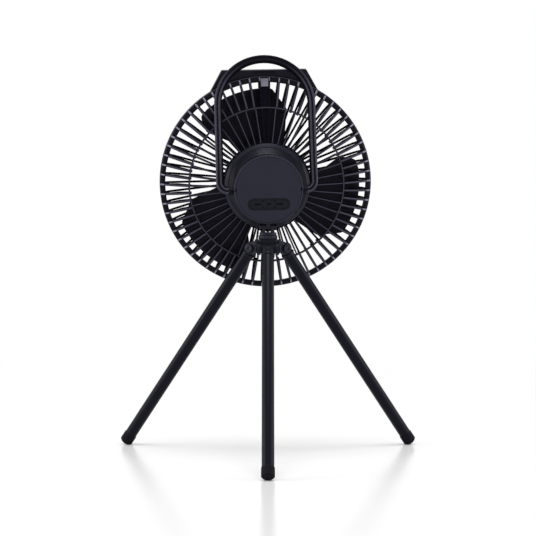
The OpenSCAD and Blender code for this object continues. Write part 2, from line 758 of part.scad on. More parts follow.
module grille_screws() color("silver") fan_axis() for (i = [0:grille_screw_count - 1])
    at_angle(45 + i * 90) translate([grille_screw_r, 0, 0]) {
        rod(1.15, bulkhead_rear + 0.3, flange_front + plate_t + 0.2);
        rod(2.3, flange_front + plate_t + 0.2, flange_front + plate_t + 1.4);
    }

// The latch plate lies in the strut's outer end, a little deeper than the strut's two edges
module grille_latch() color("#2a2a30") fan_axis() at_angle(90) radial_plate(latch_w) intersection() {
    translate([dish_centre_r, dish_centre_y]) circle(r = dish_r - 0.7, $fn = 240);
    translate([latch_low, 0]) square([latch_high - latch_low, latch_front]);
}

// Half section of a front rib: a straight face, and a quarter ring round the corner
module front_rib_section() {
    polygon([
        [front_hub_r - 1, front_hub_y - front_rib_depth], [front_face_edge + 0.1, front_face_y - front_rib_depth],
        [front_face_edge + 0.1, front_face_y], [front_hub_r - 1, front_hub_y]
    ]);
    intersection() {
        translate([front_face_edge, front_face_y - corner_r]) difference() {
            circle(r = corner_r);
            circle(r = corner_r - front_rib_depth);
        }
        translate([front_face_edge, front_face_y - corner_r]) square(corner_r + cut);
    }
}

module front_grille() color("#1b1b1f") fan_axis() {
    ring(guard_r, front_rim_inner_r, rim_seam + front_gap, front_rim_front);
    ring(front_hub_r, badge_r + 0.1, front_hub_y - front_rib_depth - 0.5, front_hub_y);
    ring(front_hub_r, 4, front_hub_y - front_rib_depth - 0.5, front_hub_y - badge_t - 0.1);
    for (i = [0:front_ribs - 1]) at_angle(90 + (i + 0.5) * 360 / front_ribs) radial_plate(front_rib_w) front_rib_section();
    // The block with the flat top, cut round where it meets the rim
    translate([0, 0, block_rear]) linear_extrude(block_front - block_rear) difference() {
        polygon([
            [-block_foot_w / 2, -block_foot_h], [-block_w / 2, -block_h],
            [block_w / 2, -block_h], [block_foot_w / 2, -block_foot_h]
        ]);
        circle(r = guard_r - 1.5);
    }
}

module front_badge() color("#232329") fan_axis() rod(badge_r, front_hub_y - badge_t, front_hub_y + 0.6);

// ---- Handle ---------------------------------------------------------------------------------

// The handle's flat outline: two arms, an arch and two round corners to the bosses
module handle_outline(w) {
    translate([0, handle_arch_y]) intersection() {
        difference() {
            circle(r = handle_half + w / 2);
            circle(r = handle_half - w / 2);
        }
        translate([-60, -0.1]) square([120, 60]);
    }
    for (side = [-1, 1]) {
        translate([side * handle_half - w / 2, handle_corner_r]) square([w, handle_arch_y - handle_corner_r]);
        translate([side * (handle_half - handle_corner_r), handle_corner_r]) intersection() {
            difference() {
                circle(r = handle_corner_r + w / 2);
                circle(r = handle_corner_r - w / 2);
            }
            translate([side > 0 ? 0 : -20, -20]) square([20, 20.1]);
        }
    }
}

module handle() color("#222228") handle_frame() difference() {
    union() {
        translate([handle_shift, 0, -handle_t / 2]) linear_extrude(handle_t) handle_outline(handle_w);
        for (side = [0, 1]) mirror([side, 0, 0]) rotate([0, 90, 0])
            rod(handle_boss_r, handle_boss_x, handle_half - handle_corner_r + abs(handle_shift) + 0.5);
    }
    // A groove along the rear face
    translate([handle_shift, 0, handle_t / 2 - groove_depth]) linear_extrude(5) handle_outline(groove_w);
    rotate([0, 90, 0]) for (side = [0, 1]) mirror([0, 0, side])
        rod(handle_screw_r, handle_boss_x - cut, handle_boss_x + 2.7);
}

module handle_screws() color("silver") handle_frame() for (side = [0, 1]) mirror([side, 0, 0]) rotate([0, 90, 0]) {
    rod(handle_screw_r, handle_washer_x - 1, handle_boss_x + 2.5);
    rod(handle_screw_head_r, handle_washer_x - 0.1 - handle_screw_head_t, handle_washer_x - 0.1);
}

module handle_washers() color("silver") handle_frame() for (side = [0, 1]) mirror([side, 0, 0]) rotate([0, 90, 0])
    ring(handle_screw_head_r, handle_screw_r + run, handle_washer_x, handle_washer_x + handle_washer_t);

// ---- The whole fan --------------------------------------------------------------------------

tripod_hub();
leg_screws();
leg_nuts();
leg_fitting(rear_leg);  // rear_leg_fitting
leg_collar(rear_leg);  // rear_leg_collar
leg_tube(rear_leg);  // rear_leg_tube
leg_foot(rear_leg);  // rear_leg_foot
leg_fitting(left_leg);  // left_leg_fitting
leg_collar(left_leg);  // left_leg_collar
leg_tube(left_leg);  // left_leg_tube
leg_foot(left_leg);  // left_leg_foot
leg_fitting(right_leg);  // right_leg_fitting
leg_collar(right_leg);  // right_leg_collar
leg_tube(right_leg);  // right_leg_tube
leg_foot(right_leg);  // right_leg_foot
thumb_ring();
thumb_stud();
neck();
tilt_bolt();
tilt_nut();
tilt_washers();
tilt_plunger();
tilt_bracket();
bracket_screws();
housing();
rear_cover();
button_bezel();
light_pipes();
button(-1);  // left_button
button(0);  // middle_button
button(1);  // right_button
control_board();
dome_switches();
charging_socket();
port_flap();
battery_tray();
battery_cells();
motor_core();
motor_windings();
motor_bearings();
rotor_shaft();
rotor_bell();
rotor_magnets();
blade();
blade_nut();
rear_grille();
grille_screws();
grille_latch();
front_grille();
front_badge();
handle();
handle_screws();
handle_washers();
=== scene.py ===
"""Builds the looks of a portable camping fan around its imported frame.

Every piece is shaped in millimetres in the frame of what carries it, and then laid down in the
fan's own frame in metres, with its place in its mesh.
"""

from __future__ import annotations

import logging
import math
from collections.abc import Callable, Iterable, Iterator, Sequence
from dataclasses import dataclass
from enum import Enum

import bmesh
import bpy
from mathutils import Matrix, Vector


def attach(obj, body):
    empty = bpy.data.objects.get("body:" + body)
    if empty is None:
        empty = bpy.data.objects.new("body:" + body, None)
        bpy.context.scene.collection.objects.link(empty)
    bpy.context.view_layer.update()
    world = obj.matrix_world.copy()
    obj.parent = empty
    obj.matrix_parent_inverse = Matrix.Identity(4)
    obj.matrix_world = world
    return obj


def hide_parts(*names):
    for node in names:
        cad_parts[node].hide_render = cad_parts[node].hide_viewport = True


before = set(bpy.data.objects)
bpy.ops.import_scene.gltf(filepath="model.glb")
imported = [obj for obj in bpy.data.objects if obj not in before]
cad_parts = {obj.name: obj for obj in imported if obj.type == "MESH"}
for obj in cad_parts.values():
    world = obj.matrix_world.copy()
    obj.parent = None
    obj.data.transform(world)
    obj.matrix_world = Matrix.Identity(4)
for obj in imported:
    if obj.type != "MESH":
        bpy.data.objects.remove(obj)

log = logging.getLogger("camping_fan")

MM = 0.001
SMOOTH_ANGLE = math.radians(32)
FLAT_ANGLE = math.radians(1.5)
EDGE_ANGLE = 50
CAST_ANGLE = 35
MERGE_GAP = 1e-4
CAD_GAP = 2e-6
SPECULAR_TINT = (0.86, 0.84, 1.0, 1.0)

Colour = tuple[float, float, float]
Point = tuple[float, float, float]
Pair = tuple[float, float]
Corners = Sequence[tuple[float, ...]]
Part = bpy.types.Object
Socket = bpy.types.NodeSocket
Element = bmesh.types.BMVert | bmesh.types.BMEdge | bmesh.types.BMFace
Face = bpy.types.MeshPolygon


# ---- Frames ---------------------------------------------------------------------------------


def shift(x: float, y: float, z: float) -> Matrix:
    """Return a move by x, y and z."""
    return Matrix.Translation((x, y, z))


def turned(axis: str, degrees: float) -> Matrix:
    """Return a turn about an axis through the origin, in degrees."""
    return Matrix.Rotation(math.radians(degrees), 4, axis)


def clock(degrees: float) -> Matrix:
    """Return the turn to a clock angle in the fan frame, anticlockwise seen from behind."""
    return turned("Z", -degrees)


@dataclass(frozen=True)
class Stance:
    """The fan at rest: where its frames stand, in millimetres and degrees."""

    leg_length: float = 229.4
    leg_splay: float = 36.5
    leg_pivot_r: float = 13.4
    leg_offset: float = 2.4
    foot_lift: float = 4.2
    tilt_rise: float = 18.9
    tilt: float = 5.5
    pan: float = 3.1
    roll: float = -1.0
    lean: float = 19.1
    axis_rise: float = 35.0
    forward: float = 7.5
    handle_y: float = -6.0
    handle_drop: float = 2.0
    handle_shift: float = -0.8
    cover_face: float = -17.7
    panel_drop: float = 12.9

    def tripod(self) -> Matrix:
        """Return the tripod's frame: upright, with the leg pivots at z = 0.

        Returns:
            The frame as a matrix in millimetres.
        """
        length, offset, splay = self.leg_length, self.leg_offset, math.radians(self.leg_splay)
        reach = self.leg_pivot_r + length * math.sin(splay) + offset * math.cos(splay)
        rise = self.foot_lift + length * math.cos(splay) - offset * math.sin(splay)
        return shift(0, reach / 4, rise)

    def neck(self) -> Matrix:
        """Return the neck's frame, turned with the head on the stud."""
        return self.tripod() @ turned("Z", self.pan)

    def head(self) -> Matrix:
        """Return the head's frame: the origin on the tilt axis, y along the fan's axis."""
        return self.neck() @ shift(0, 0, self.tilt_rise) @ turned("X", self.tilt)

    def core(self) -> Matrix:
        """Return the fan's upright frame: the origin in its middle, y along its axis."""
        return self.head() @ shift(0, self.forward, self.axis_rise) @ turned("Y", self.roll)

    def fan(self) -> Matrix:
        """Return the fan axis's frame: z forwards, x to the right, y down."""
        return self.core() @ turned("X", -90)

    def panel(self) -> Matrix:
        """Return the button panel's frame: z going into the fan."""
        return self.fan() @ shift(0, self.panel_drop, self.cover_face)

    def pivots(self) -> Matrix:
        """Return the upright frame between the handle's pivots."""
        return self.core() @ shift(0, self.handle_y, -self.handle_drop)

    def handle(self) -> Matrix:
        """Return the handle's frame: the origin between its pivots, y up its arms."""
        return self.pivots() @ turned("X", 90 - self.lean)

    def tube(self, angle: float) -> Matrix:
        """Return the frame of a spread leg's tube, beside the leg's pivot: z down the leg.

        Args:
            angle: Where the leg stands round the tripod, in degrees.

        Returns:
            The frame as a matrix in millimetres.
        """
        pivot = self.tripod() @ turned("Z", angle) @ shift(self.leg_pivot_r, 0, 0)
        return pivot @ turned("Y", 180 - self.leg_splay) @ shift(-self.leg_offset, 0, 0)


# ---- The bench ------------------------------------------------------------------------------


class Pick(Enum):
    """What an edit-mode selection is made of."""

    CORNERS = "VERT"
    EDGES = "EDGE"
    FACES = "FACE"


class Mix(Enum):
    """How one solid is combined with another."""

    WELD = "UNION"
    CUT = "DIFFERENCE"
    KEEP = "INTERSECT"


def middle(element: Element) -> Vector:
    """Return the middle of an edge or a face."""
    return sum((corner.co for corner in element.verts), Vector()) / len(element.verts)


def radius(place: Vector) -> float:
    """Return the distance of a place from the z axis."""
    return math.hypot(place.x, place.y)


def clear_bench() -> None:
    """Leave edit mode and select nothing."""
    if bpy.context.object and bpy.context.object.mode != "OBJECT":
        bpy.ops.object.mode_set(mode="OBJECT")
    bpy.ops.object.select_all(action="DESELECT")


class Work:
    """One mesh on the bench, shaped with edit-mode operators in millimetres."""

    def __init__(self, part: Part, name: str) -> None:
        """Take a part onto the bench under a name."""
        self.part = part
        self.called(name)

    def called(self, name: str) -> Work:
        """Name the piece and its mesh."""
        self.part.name = self.part.data.name = name
        return self

    # -- stock --

    @classmethod
    def block(cls, name: str, size: Point, place: Point = (0, 0, 0)) -> Work:
        """Start from a box.

        Args:
            name: What the piece is called.
            size: Its size along x, y and z.
            place: Where its middle is.

        Returns:
            The box on the bench.
        """
        clear_bench()
        bpy.ops.mesh.primitive_cube_add(size=1, location=place)
        work = cls(bpy.context.object, name)
        work.part.scale = size
        bpy.ops.object.transform_apply()
        return work

    @classmethod
    def cylinder(cls, name: str, r: float, low: float, high: float, sides: int) -> Work:
        """Start from a cylinder round the z axis.

        Args:
            name: What the piece is called.
            r: Its radius.
            low: The z where it starts.
            high: The z where it ends.
            sides: How many sides it has.

        Returns:
            The cylinder on the bench.
        """
        clear_bench()
        bpy.ops.mesh.primitive_cylinder_add(
            vertices=sides, radius=r, depth=high - low, location=(0, 0, (low + high) / 2)
        )
        work = cls(bpy.context.object, name)
        bpy.ops.object.transform_apply()
        return work

    @classmethod
    def chain(cls, name: str, points: Sequence[Point], closed: bool = True) -> Work:
        """Start from one corner and extrude it along a chain of points.

        Args:
            name: What the piece is called.
            points: The chain's corners in order.
            closed: Whether the last corner joins the first.

        Returns:
            The chain of edges on the bench, in edit mode, all selected.
        """
        clear_bench()
        bpy.ops.mesh.primitive_plane_add(size=1)
        work = cls(bpy.context.object, name).everything()
        bpy.ops.mesh.merge(type="CENTER")
        bpy.ops.transform.translate(value=points[0])
        for before, after in zip(points, points[1:]):
            work.extrude(*(Vector(after) - Vector(before)))
        if closed:
            bpy.ops.mesh.select_all(action="SELECT")
            work.pick(Pick.CORNERS, lambda corner: corner.index in (0, len(points) - 1))
            bpy.ops.mesh.edge_face_add()
        bpy.ops.mesh.select_all(action="SELECT")
        return work

    @classmethod
    def lathe(cls, name: str, profile: Corners, sides: int = 96, closed: bool = True) -> Work:
        """Turn a half section round the z axis.

        Args:
            name: What the piece is called.
            profile: Corners as (radius, z) or (radius, z, fillet radius).
            sides: Steps in the full turn.
            closed: Whether the section is a closed loop; open ones end on the axis.

        Returns:
            The turned piece on the bench, with its seam closed and its faces outwards.
        """
        points = [(r, 0.0, z) for r, z in rounded(profile, closed)]
        return cls.chain(name, points, closed).spin(sides, math.tau).tidy()

    @classmethod
    def plate(cls, name: str, outline: Corners, low: float, high: float) -> Work:
        """Extrude a closed outline in x and y.

        Args:
            name: What the piece is called.
            outline: Corners as (x, y) or (x, y, fillet radius).
            low: The z where the plate starts.
            high: The z where it ends.

        Returns:
            The plate on the bench.
        """
        work = cls.chain(name, [(x, y, low) for x, y in rounded(outline)])
        bpy.ops.mesh.edge_face_add()
        return work.extrude(0, 0, high - low).tidy()

    @classmethod
    def casting(cls, node: str, width: float, segments: int) -> Work:
        """Copy a CAD node's mesh, merge its loose triangles and break its sharp edges.

        Args:
            node: The CAD node that the piece stands for.
            width: Width of the rounding along sharp edges, in millimetres.
            segments: Steps across that rounding.

        Returns:
            The piece on the bench, already in the fan's own frame in metres.
        """
        part = bpy.data.objects.new(f"{node}_piece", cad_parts[node].data.copy())
        bpy.context.scene.collection.objects.link(part)
        part.data.materials.clear()
        work = cls(part, part.name).alone()
        bpy.ops.mesh.customdata_custom_splitnormals_clear()
        work.edit()
        bpy.ops.mesh.select_all(action="SELECT")
        bpy.ops.mesh.remove_doubles(threshold=CAD_GAP)
        bpy.ops.mesh.normals_make_consistent(inside=False)
        bpy.ops.mesh.dissolve_limited(angle_limit=FLAT_ANGLE)
        clear_bench()
        return work.soften(width * MM, segments, CAST_ANGLE).smooth()

    # -- selecting and shaping --

    def alone(self) -> Work:
        """Select this piece alone and make it the active one.

        Returns:
            The piece itself.
        """
        clear_bench()
        self.part.select_set(True)
        bpy.context.view_layer.objects.active = self.part
        return self

    def edit(self) -> Work:
        """Go into edit mode on this piece alone.

        Returns:
            The piece itself.
        """
        self.alone()
        bpy.ops.object.mode_set(mode="EDIT")
        return self

    def everything(self, kind: Pick = Pick.CORNERS) -> Work:
        """Go into edit mode and select the whole piece.

        Args:
            kind: What the selection is made of.

        Returns:
            The piece itself.
        """
        self.edit()
        bpy.ops.mesh.select_mode(type=kind.value)
        bpy.ops.mesh.select_all(action="SELECT")
        return self

    def pick(self, kind: Pick, test: Callable[[Element], bool]) -> Work:
        """Select what passes a test, in edit mode.

        Args:
            kind: Whether corners, edges or faces are tested.
            test: The test.

        Returns:
            The piece itself.
        """
        bpy.ops.mesh.select_mode(type=kind.value)
        bpy.ops.mesh.select_all(action="DESELECT")
        mesh = bmesh.from_edit_mesh(self.part.data)
        elements = {Pick.CORNERS: mesh.verts, Pick.EDGES: mesh.edges, Pick.FACES: mesh.faces}[kind]
        elements.index_update()
        for element in elements:
            if test(element):
                element.select_set(True)
        bmesh.update_edit_mesh(self.part.data)
        return self

    def extrude(self, x: float, y: float, z: float) -> Work:
        """Extrude the selection by x, y and z."""
        bpy.ops.mesh.extrude_region_move(TRANSFORM_OT_translate={"value": (x, y, z)})
        return self

    def spin(
        self, steps: int, angle: float, centre: Point = (0, 0, 0), axis: Point = (0, 0, 1)
    ) -> Work:
        """Sweep the selection round an axis through a centre."""
        bpy.ops.mesh.spin(steps=steps, angle=angle, center=centre, axis=axis, dupli=False)
        return self

    def bevel(self, width: float, segments: int, test: Callable[[Element], bool]) -> Work:
        """Round some edges.

        Args:
            width: Width of the rounding.
            segments: Steps across it.
            test: Which edges are rounded.

        Returns:
            The piece itself.
        """
        self.edit().pick(Pick.EDGES, test)
        bpy.ops.mesh.bevel(offset=width, segments=segments, affect="EDGES", clamp_overlap=True)
        clear_bench()
        return self

    def tidy(self) -> Work:
        """Merge double corners and turn every face outwards.

        Returns:
            The piece itself.
        """
        self.everything()
        bpy.ops.mesh.remove_doubles(threshold=MERGE_GAP)
        bpy.ops.mesh.normals_make_consistent(inside=False)
        clear_bench()
        return self

    def cap(self) -> Work:
        """Fill the open ends.

        Returns:
            The piece itself.
        """
        self.everything(Pick.EDGES)
        bpy.ops.mesh.fill_holes(sides=0)
        return self.tidy()

    def slice(self, place: Point, off: Point) -> Work:
        """Cut the piece through a plane and throw one side away.

        Args:
            place: A place on the plane.
            off: The way to the side that is thrown away.

        Returns:
            The piece itself.
        """
        self.everything()
        bpy.ops.mesh.bisect(plane_co=place, plane_no=off, use_fill=True, clear_outer=True)
        return self.tidy()

    def modify(self, kind: str, **settings: object) -> Work:
        """Add a modifier and apply it.

        Args:
            kind: The modifier's type.
            settings: Its settings.

        Returns:
            The piece itself.
        """
        modifier = self.alone().part.modifiers.new(kind.title(), kind)
        for key, value in settings.items():
            setattr(modifier, key, value)
        bpy.ops.object.modifier_apply(modifier=modifier.name)
        return self

    def soften(self, width: float, segments: int, angle: float = EDGE_ANGLE) -> Work:
        """Round every edge that is sharper than an angle in degrees."""
        limit = math.radians(angle)
        return self.modify(
            "BEVEL", width=width, segments=segments, limit_method="ANGLE", angle_limit=limit
        )

    def mix(self, how: Mix, *others: Work) -> Work:
        """Combine the piece with others, which are used up.

        Args:
            how: The way they are combined.
            others: The other pieces, whose finishes go where they leave a face.

        Returns:
            The piece itself.
        """
        for other in others:
            self.modify(
                "BOOLEAN",
                object=other.part,
                operation=how.value,
                solver="EXACT",
                material_mode="TRANSFER",
            )
            bpy.data.objects.remove(other.part)
        return self

    def move(self, matrix: Matrix) -> Work:
        """Move the mesh by a matrix in millimetres.

        Args:
            matrix: The move.

        Returns:
            The piece itself.
        """
        self.alone().part.matrix_world = matrix
        bpy.ops.object.transform_apply()
        return self

    def lay(self, place: Matrix) -> Work:
        """Lay the shaped piece down in the fan's own frame in metres, and shade it."""
        return self.move(Matrix.Scale(MM, 4) @ place).smooth()

    def copies(self, turns: Iterable[Matrix]) -> Work:
        """Replace the piece by copies of it, each with its own mesh, joined into one.

        Args:
            turns: Where each copy goes.

        Returns:
            The piece itself.
        """
        others = []
        for turn in turns:
            other = self.part.copy()
            other.data = self.part.data.copy()
            other.data.transform(turn)
            bpy.context.scene.collection.objects.link(other)
            others.append(other)
        name = self.part.name
        bpy.data.objects.remove(self.part)
        self.part = others[0]
        return self.join(*(Work(other, other.name) for other in others[1:])).called(name)

    def join(self, *others: Work) -> Work:
        """Join other pieces' meshes into this one.

        Args:
            others: The other pieces, which are used up.

        Returns:
            The piece itself.
        """
        self.alone()
        for other in others:
            other.part.select_set(True)
        bpy.ops.object.join()
        return self

    def smooth(self) -> Work:
        """Shade smoothly except across sharp edges.

        Returns:
            The piece itself.
        """
        self.alone()
        bpy.ops.object.shade_smooth_by_angle(angle=SMOOTH_ANGLE)
        return self

    # -- handing over --

    def paint(self, base: Paint, *bands: tuple[Paint, Callable[[Face], bool]]) -> Work:
        """Give the piece its finishes.

        Args:
            base: The finish of the whole piece.
            bands: Other finishes, each with a test of a face; the last test passed decides.

        Returns:
            The piece itself.
        """
        mesh = self.part.data
        mesh.materials.clear()
        for paint in (base, *(paint for paint, _ in bands)):
            mesh.materials.append(paint.value.material())
        for face in mesh.polygons if bands else ():
            passed = [slot for slot, (_, test) in enumerate(bands, 1) if test(face)]
            face.material_index = passed[-1] if passed else 0
        return self

    def fit(self, body: str, slot: str, node: str) -> Part:
        """Hand the piece over to the frame.

        Args:
            body: The CAD body it rides on.
            slot: The record's material slot; not used.
            node: The CAD node that it stands for.

        Returns:
            The finished piece.
        """
        clear_bench()
        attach(self.part, body)
        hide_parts(node)
        return self.part


def cast(node: str, width: float, paint: Paint, body: str, slot: str, segments: int = 2) -> Part:
    """Build a piece from a CAD node's own mesh, with its edges rounded in millimetres."""
    return Work.casting(node, width, segments).paint(paint).fit(body, slot, node)


def rounded(corners: Corners, closed: bool = True, steps: int = 4) -> list[Pair]:
    """Round the corners of a flat chain that ask for it.

    Args:
        corners: Corners as (a, b) or (a, b, fillet radius).
        closed: Whether the chain is a loop.
        steps: Steps in each fillet.

    Returns:
        The chain's points, with an arc in place of each rounded corner.
    """
    count, points = len(corners), []
    for i, corner in enumerate(corners):
        here = Vector(corner[:2])
        fillet = corner[2] if len(corner) > 2 else 0.0
        if not fillet or (not closed and i in (0, count - 1)):
            points.append((here.x, here.y))
            continue
        back = (Vector(corners[i - 1][:2]) - here).normalized()
        on = (Vector(corners[(i + 1) % count][:2]) - here).normalized()
        half = back.angle(on) / 2
        reach = fillet / math.tan(half)
        centre = here + (back + on).normalized() * (fillet / math.sin(half))
        start, end = here + back * reach - centre, here + on * reach - centre
        sweep = start.angle_signed(end)
        for step in range(steps + 1):
            spoke = start.copy()
            spoke.rotate(Matrix.Rotation(-sweep * step / steps, 2))
            points.append(tuple(centre + spoke))
    return points


def slab(width: float, height: float, corner: float) -> list[Point]:
    """Return the outline of a rectangle with round corners, centred."""
    w, h = width / 2, height / 2
    return [(-w, -h, corner), (w, -h, corner), (w, h, corner), (-w, h, corner)]


def pill(width: float, height: float, grow: float = 0.0) -> list[Point]:
    """Return the outline of a bar with fully round ends, centred and grown all round."""
    w, h = width / 2 + grow, height / 2 + grow
    return slab(2 * w, 2 * h, h * 0.999)


def bar(half: float, low: float, high: float, inner: float, outer: float) -> list[Pair]:
    """Return a rib's section, given its half width, two heights and their fillets."""
    corners = [(-half, low, inner), (half, low, inner), (half, high, outer), (-half, high, outer)]
    return rounded(corners, steps=3)


# ---- Finishes -------------------------------------------------------------------------------


def tone(red: int, green: int, blue: int) -> Colour:
    """Return a colour written as 0 to 255 on a screen, as the shader's own values."""
    return tuple(
        c / 12.92 if c <= 0.04045 else ((c + 0.055) / 1.055) ** 2.4
        for c in (red / 255, green / 255, blue / 255)
    )


def shade(colour: Colour, share: float) -> Colour:
    """Return a colour darkened or lightened by a share."""
    return tuple(min(c * share, 1.0) for c in colour)


class Spread(Enum):
    """How the distance to scattered points is measured: round them or in squares."""

    ROUND = "EUCLIDEAN"
    SQUARE = "MANHATTAN"


class Graph:
    """A material's node graph, with its shader and output in place."""

    def __init__(self, name: str) -> None:
        """Start a new material.

        Args:
            name: What the material is called.
        """
        self.made = bpy.data.materials.new(name)
        self.made.use_nodes = True
        self.nodes = self.made.node_tree.nodes
        self.nodes.clear()
        self.shader = self.nodes.new("ShaderNodeBsdfPrincipled")
        self.out = self.nodes.new("ShaderNodeOutputMaterial")
        self.drive("Specular Tint", SPECULAR_TINT)
        self.link(self.shader.outputs[0], self.out.inputs[0])

    def link(self, source: Socket, target: Socket) -> None:
        """Join two sockets."""
        self.made.node_tree.links.new(source, target)

    def node(self, kind: str, source: Socket, into: str | int, **values: object) -> bpy.types.Node:
        """Add a node.

        Args:
            kind: What follows ShaderNode in its type.
            source: The socket that feeds it.
            into: Its input that is fed.
            values: Numbers for other inputs, with an underscore for each space.

        Returns:
            The node.
        """
        node = self.nodes.new(f"ShaderNode{kind}")
        for key, value in values.items():
            node.inputs[key.replace("_", " ")].default_value = value
        self.link(source, node.inputs[into])
        return node

    def drive(self, key: str, source: Socket | float | tuple[float, ...]) -> None:
        """Feed one of the shader's inputs.

        Args:
            key: The input's name.
            source: A socket, or a value that stays the same all over.
        """
        if isinstance(source, Socket):
            self.link(source, self.shader.inputs[key])
        else:
            self.shader.inputs[key].default_value = source

    def where(self) -> Socket:
        """Return metres along a piece's own axes."""
        return self.nodes.new("ShaderNodeTexCoord").outputs["Object"]

    def place(self, draw: Point = (1, 1, 1), spin: Point = (0, 0, 0)) -> Socket:
        """Measure in millimetres along a piece's own axes.

        Args:
            draw: How many times longer a pattern gets along each axis.
            spin: The turn of the piece's axes, in degrees.

        Returns:
            The coordinates' socket.
        """
        mapping = self.node("Mapping", self.where(), "Vector")
        mapping.vector_type = "TEXTURE"
        mapping.inputs["Rotation"].default_value = [math.radians(a) for a in spin]
        mapping.inputs["Scale"].default_value = [MM * d for d in draw]
        return mapping.outputs[0]

    def noise(self, at: Socket, size: float, detail: float = 2.0, rough: float = 0.5) -> Socket:
        """Return noise with blots of a size in millimetres."""
        values = {"Scale": 1 / size, "Detail": detail, "Roughness": rough}
        return self.node("TexNoise", at, "Vector", **values).outputs["Fac"]

    def cells(self, at: Socket, size: float, spread: Spread = Spread.ROUND) -> Socket:
        """Measure how far the nearest of scattered points is.

        Args:
            at: The coordinates.
            size: How far apart the points are, in millimetres.
            spread: How the distance is measured.

        Returns:
            The distance's socket.
        """
        cells = self.node("TexVoronoi", at, "Vector", Scale=1 / size)
        cells.distance = spread.value
        return cells.outputs["Distance"]

    def bands(self, at: Socket, size: float) -> Socket:
        """Draw slightly wavering bands across y.

        Args:
            at: The coordinates.
            size: How far apart the bands are, in millimetres.

        Returns:
            The bands' socket.
        """
        values = {"Scale": 0.314 / size, "Distortion": 0.4, "Detail": 2.0}
        wave = self.node("TexWave", at, "Vector", **values)
        wave.bands_direction = "Y"
        return wave.outputs["Fac"]

    def ranged(
        self, value: Socket, low: float, high: float, start: float = 0.3, end: float = 0.7
    ) -> Socket:
        """Return a value spread from low to high as it goes from start to end."""
        values = {"From Min": start, "From Max": end, "To Min": low, "To Max": high}
        return self.node("MapRange", value, "Value", **values).outputs[0]

    def blend(
        self, value: Socket, one: Colour, other: Colour, start: float = 0.3, end: float = 0.7
    ) -> Socket:
        """Turn one colour into another.

        Args:
            value: What decides between them.
            one: The colour up to the start.
            other: The colour from the end on.
            start: The value where it starts.
            end: The value where it ends.

        Returns:
            The colour's socket.
        """
        ramp = self.node("ValToRGB", value, 0)
        for stop, place, colour in zip(ramp.color_ramp.elements, (start, end), (one, other)):
            stop.position, stop.color = place, (*colour, 1)
        return ramp.outputs[0]

    def bump(self, height: Socket, depth: float, under: Socket | None = None) -> Socket:
        """Raise the surface.

        Args:
            height: How high it is raised, from 0 to 1.
            depth: What 1 stands for, in millimetres.
            under: Another raised surface that this one lies on.

        Returns:
            The raised surface's socket.
        """
        bump = self.node("Bump", height, "Height", Strength=1.0, Distance=depth * MM)
        if under is not None:
            self.link(under, bump.inputs["Normal"])
        return bump.outputs[0]


@dataclass(frozen=True)
class Finish:
    """What a piece's surface is made of."""

    name: str
    colour: Colour
    roughness: float = 0.5
    gloss: float = 0.5

    def material(self) -> bpy.types.Material:
        """Make the finish's material, or find it where it is made already.

        Returns:
            The material.
        """
        name = f"{self.name}_finish"
        found = bpy.data.materials.get(name)
        if found:
            return found
        graph = Graph(name)
        self.dress(graph)
        return graph.made

    def dress(self, graph: Graph) -> None:
        """Build the finish in a graph."""
        raise NotImplementedError

    def tint(self, graph: Graph, pattern: Socket, dark: float, light: float) -> Socket:
        """Return the colour between two shares of itself, after a pattern."""
        return graph.blend(pattern, shade(self.colour, dark), shade(self.colour, light))

    def coat(
        self, graph: Graph, tint: Socket, relief: Socket, wear: Socket | None = None, spread: float = 0
    ) -> None:
        """Feed the shader with what every finish has.

        Args:
            graph: The material's graph.
            tint: The colour.
            relief: The raised surface.
            wear: The pattern that the roughness follows, if it varies.
            spread: How far it varies either way.
        """
        rough = self.roughness
        if wear is not None:
            rough = graph.ranged(wear, self.roughness - spread, self.roughness + spread)
        graph.drive("Base Color", tint)
        graph.drive("Roughness", rough)
        graph.drive("Normal", relief)
        graph.drive("Specular IOR Level", self.gloss)


@dataclass(frozen=True)
class Moulded(Finish):
    """Moulded plastic with a fine spark-eroded grain."""

    gloss: float = 0.3
    grain: float = 0.22
    depth: float = 0.006
    mottle: float = 0.12

    def skin(self, graph: Graph, at: Socket) -> Socket:
        """Return the surface raised by the grain."""
        return graph.bump(graph.noise(at, self.grain, 3.0, 0.6), self.depth)

    def dress(self, graph: Graph) -> None:
        """Build the grain, the slow flow marks of the mould and the polish on them.

        Args:
            graph: The material's graph.
        """
        at = graph.place()
        flow, wear = graph.noise(at, 9.0, 3.0), graph.noise(at, 2.4, 4.0)
        colour = self.tint(graph, flow, 1 - self.mottle, 1 + self.mottle)
        self.coat(graph, colour, self.skin(graph, at), wear, 0.07)


@dataclass(frozen=True)
class PaintedShadeAbove(Moulded):
    """Moulded plastic with painted shade: darker, rougher and less glossy above a height, given at rest.
    """

    # The darker colour of the painted shade over the crown.
    other: Colour = (0.01, 0.01, 0.01)
    rise: Pair = (0.0, 1.0)
    dulled: float = 0.3
    dull_gloss: float = 0.08

    def dress(self, graph: Graph) -> None:
        """Build the plastic, and let painted shade turn it darker and duller as it rises.

        Args:
            graph: The material's graph.
        """
        parts = graph.node("SeparateXYZ", graph.where(), 0)
        low, high = (height * MM for height in self.rise)
        # Painted shade: grip ramps from 0 to 1 over the given heights, darkening and dulling the handle's
        # crown.
        grip = graph.ranged(parts.outputs["Z"], 0.0, 1.0, low, high)
        colour = graph.blend(grip, self.colour, self.other, 0.0, 1.0)
        dull = self.roughness + self.dulled
        self.coat(graph, colour, self.skin(graph, graph.place()))
        graph.drive("Roughness", graph.ranged(grip, self.roughness, dull, 0.0, 1.0))
        graph.drive("Specular IOR Level", graph.ranged(grip, self.gloss, self.dull_gloss, 0.0, 1.0))


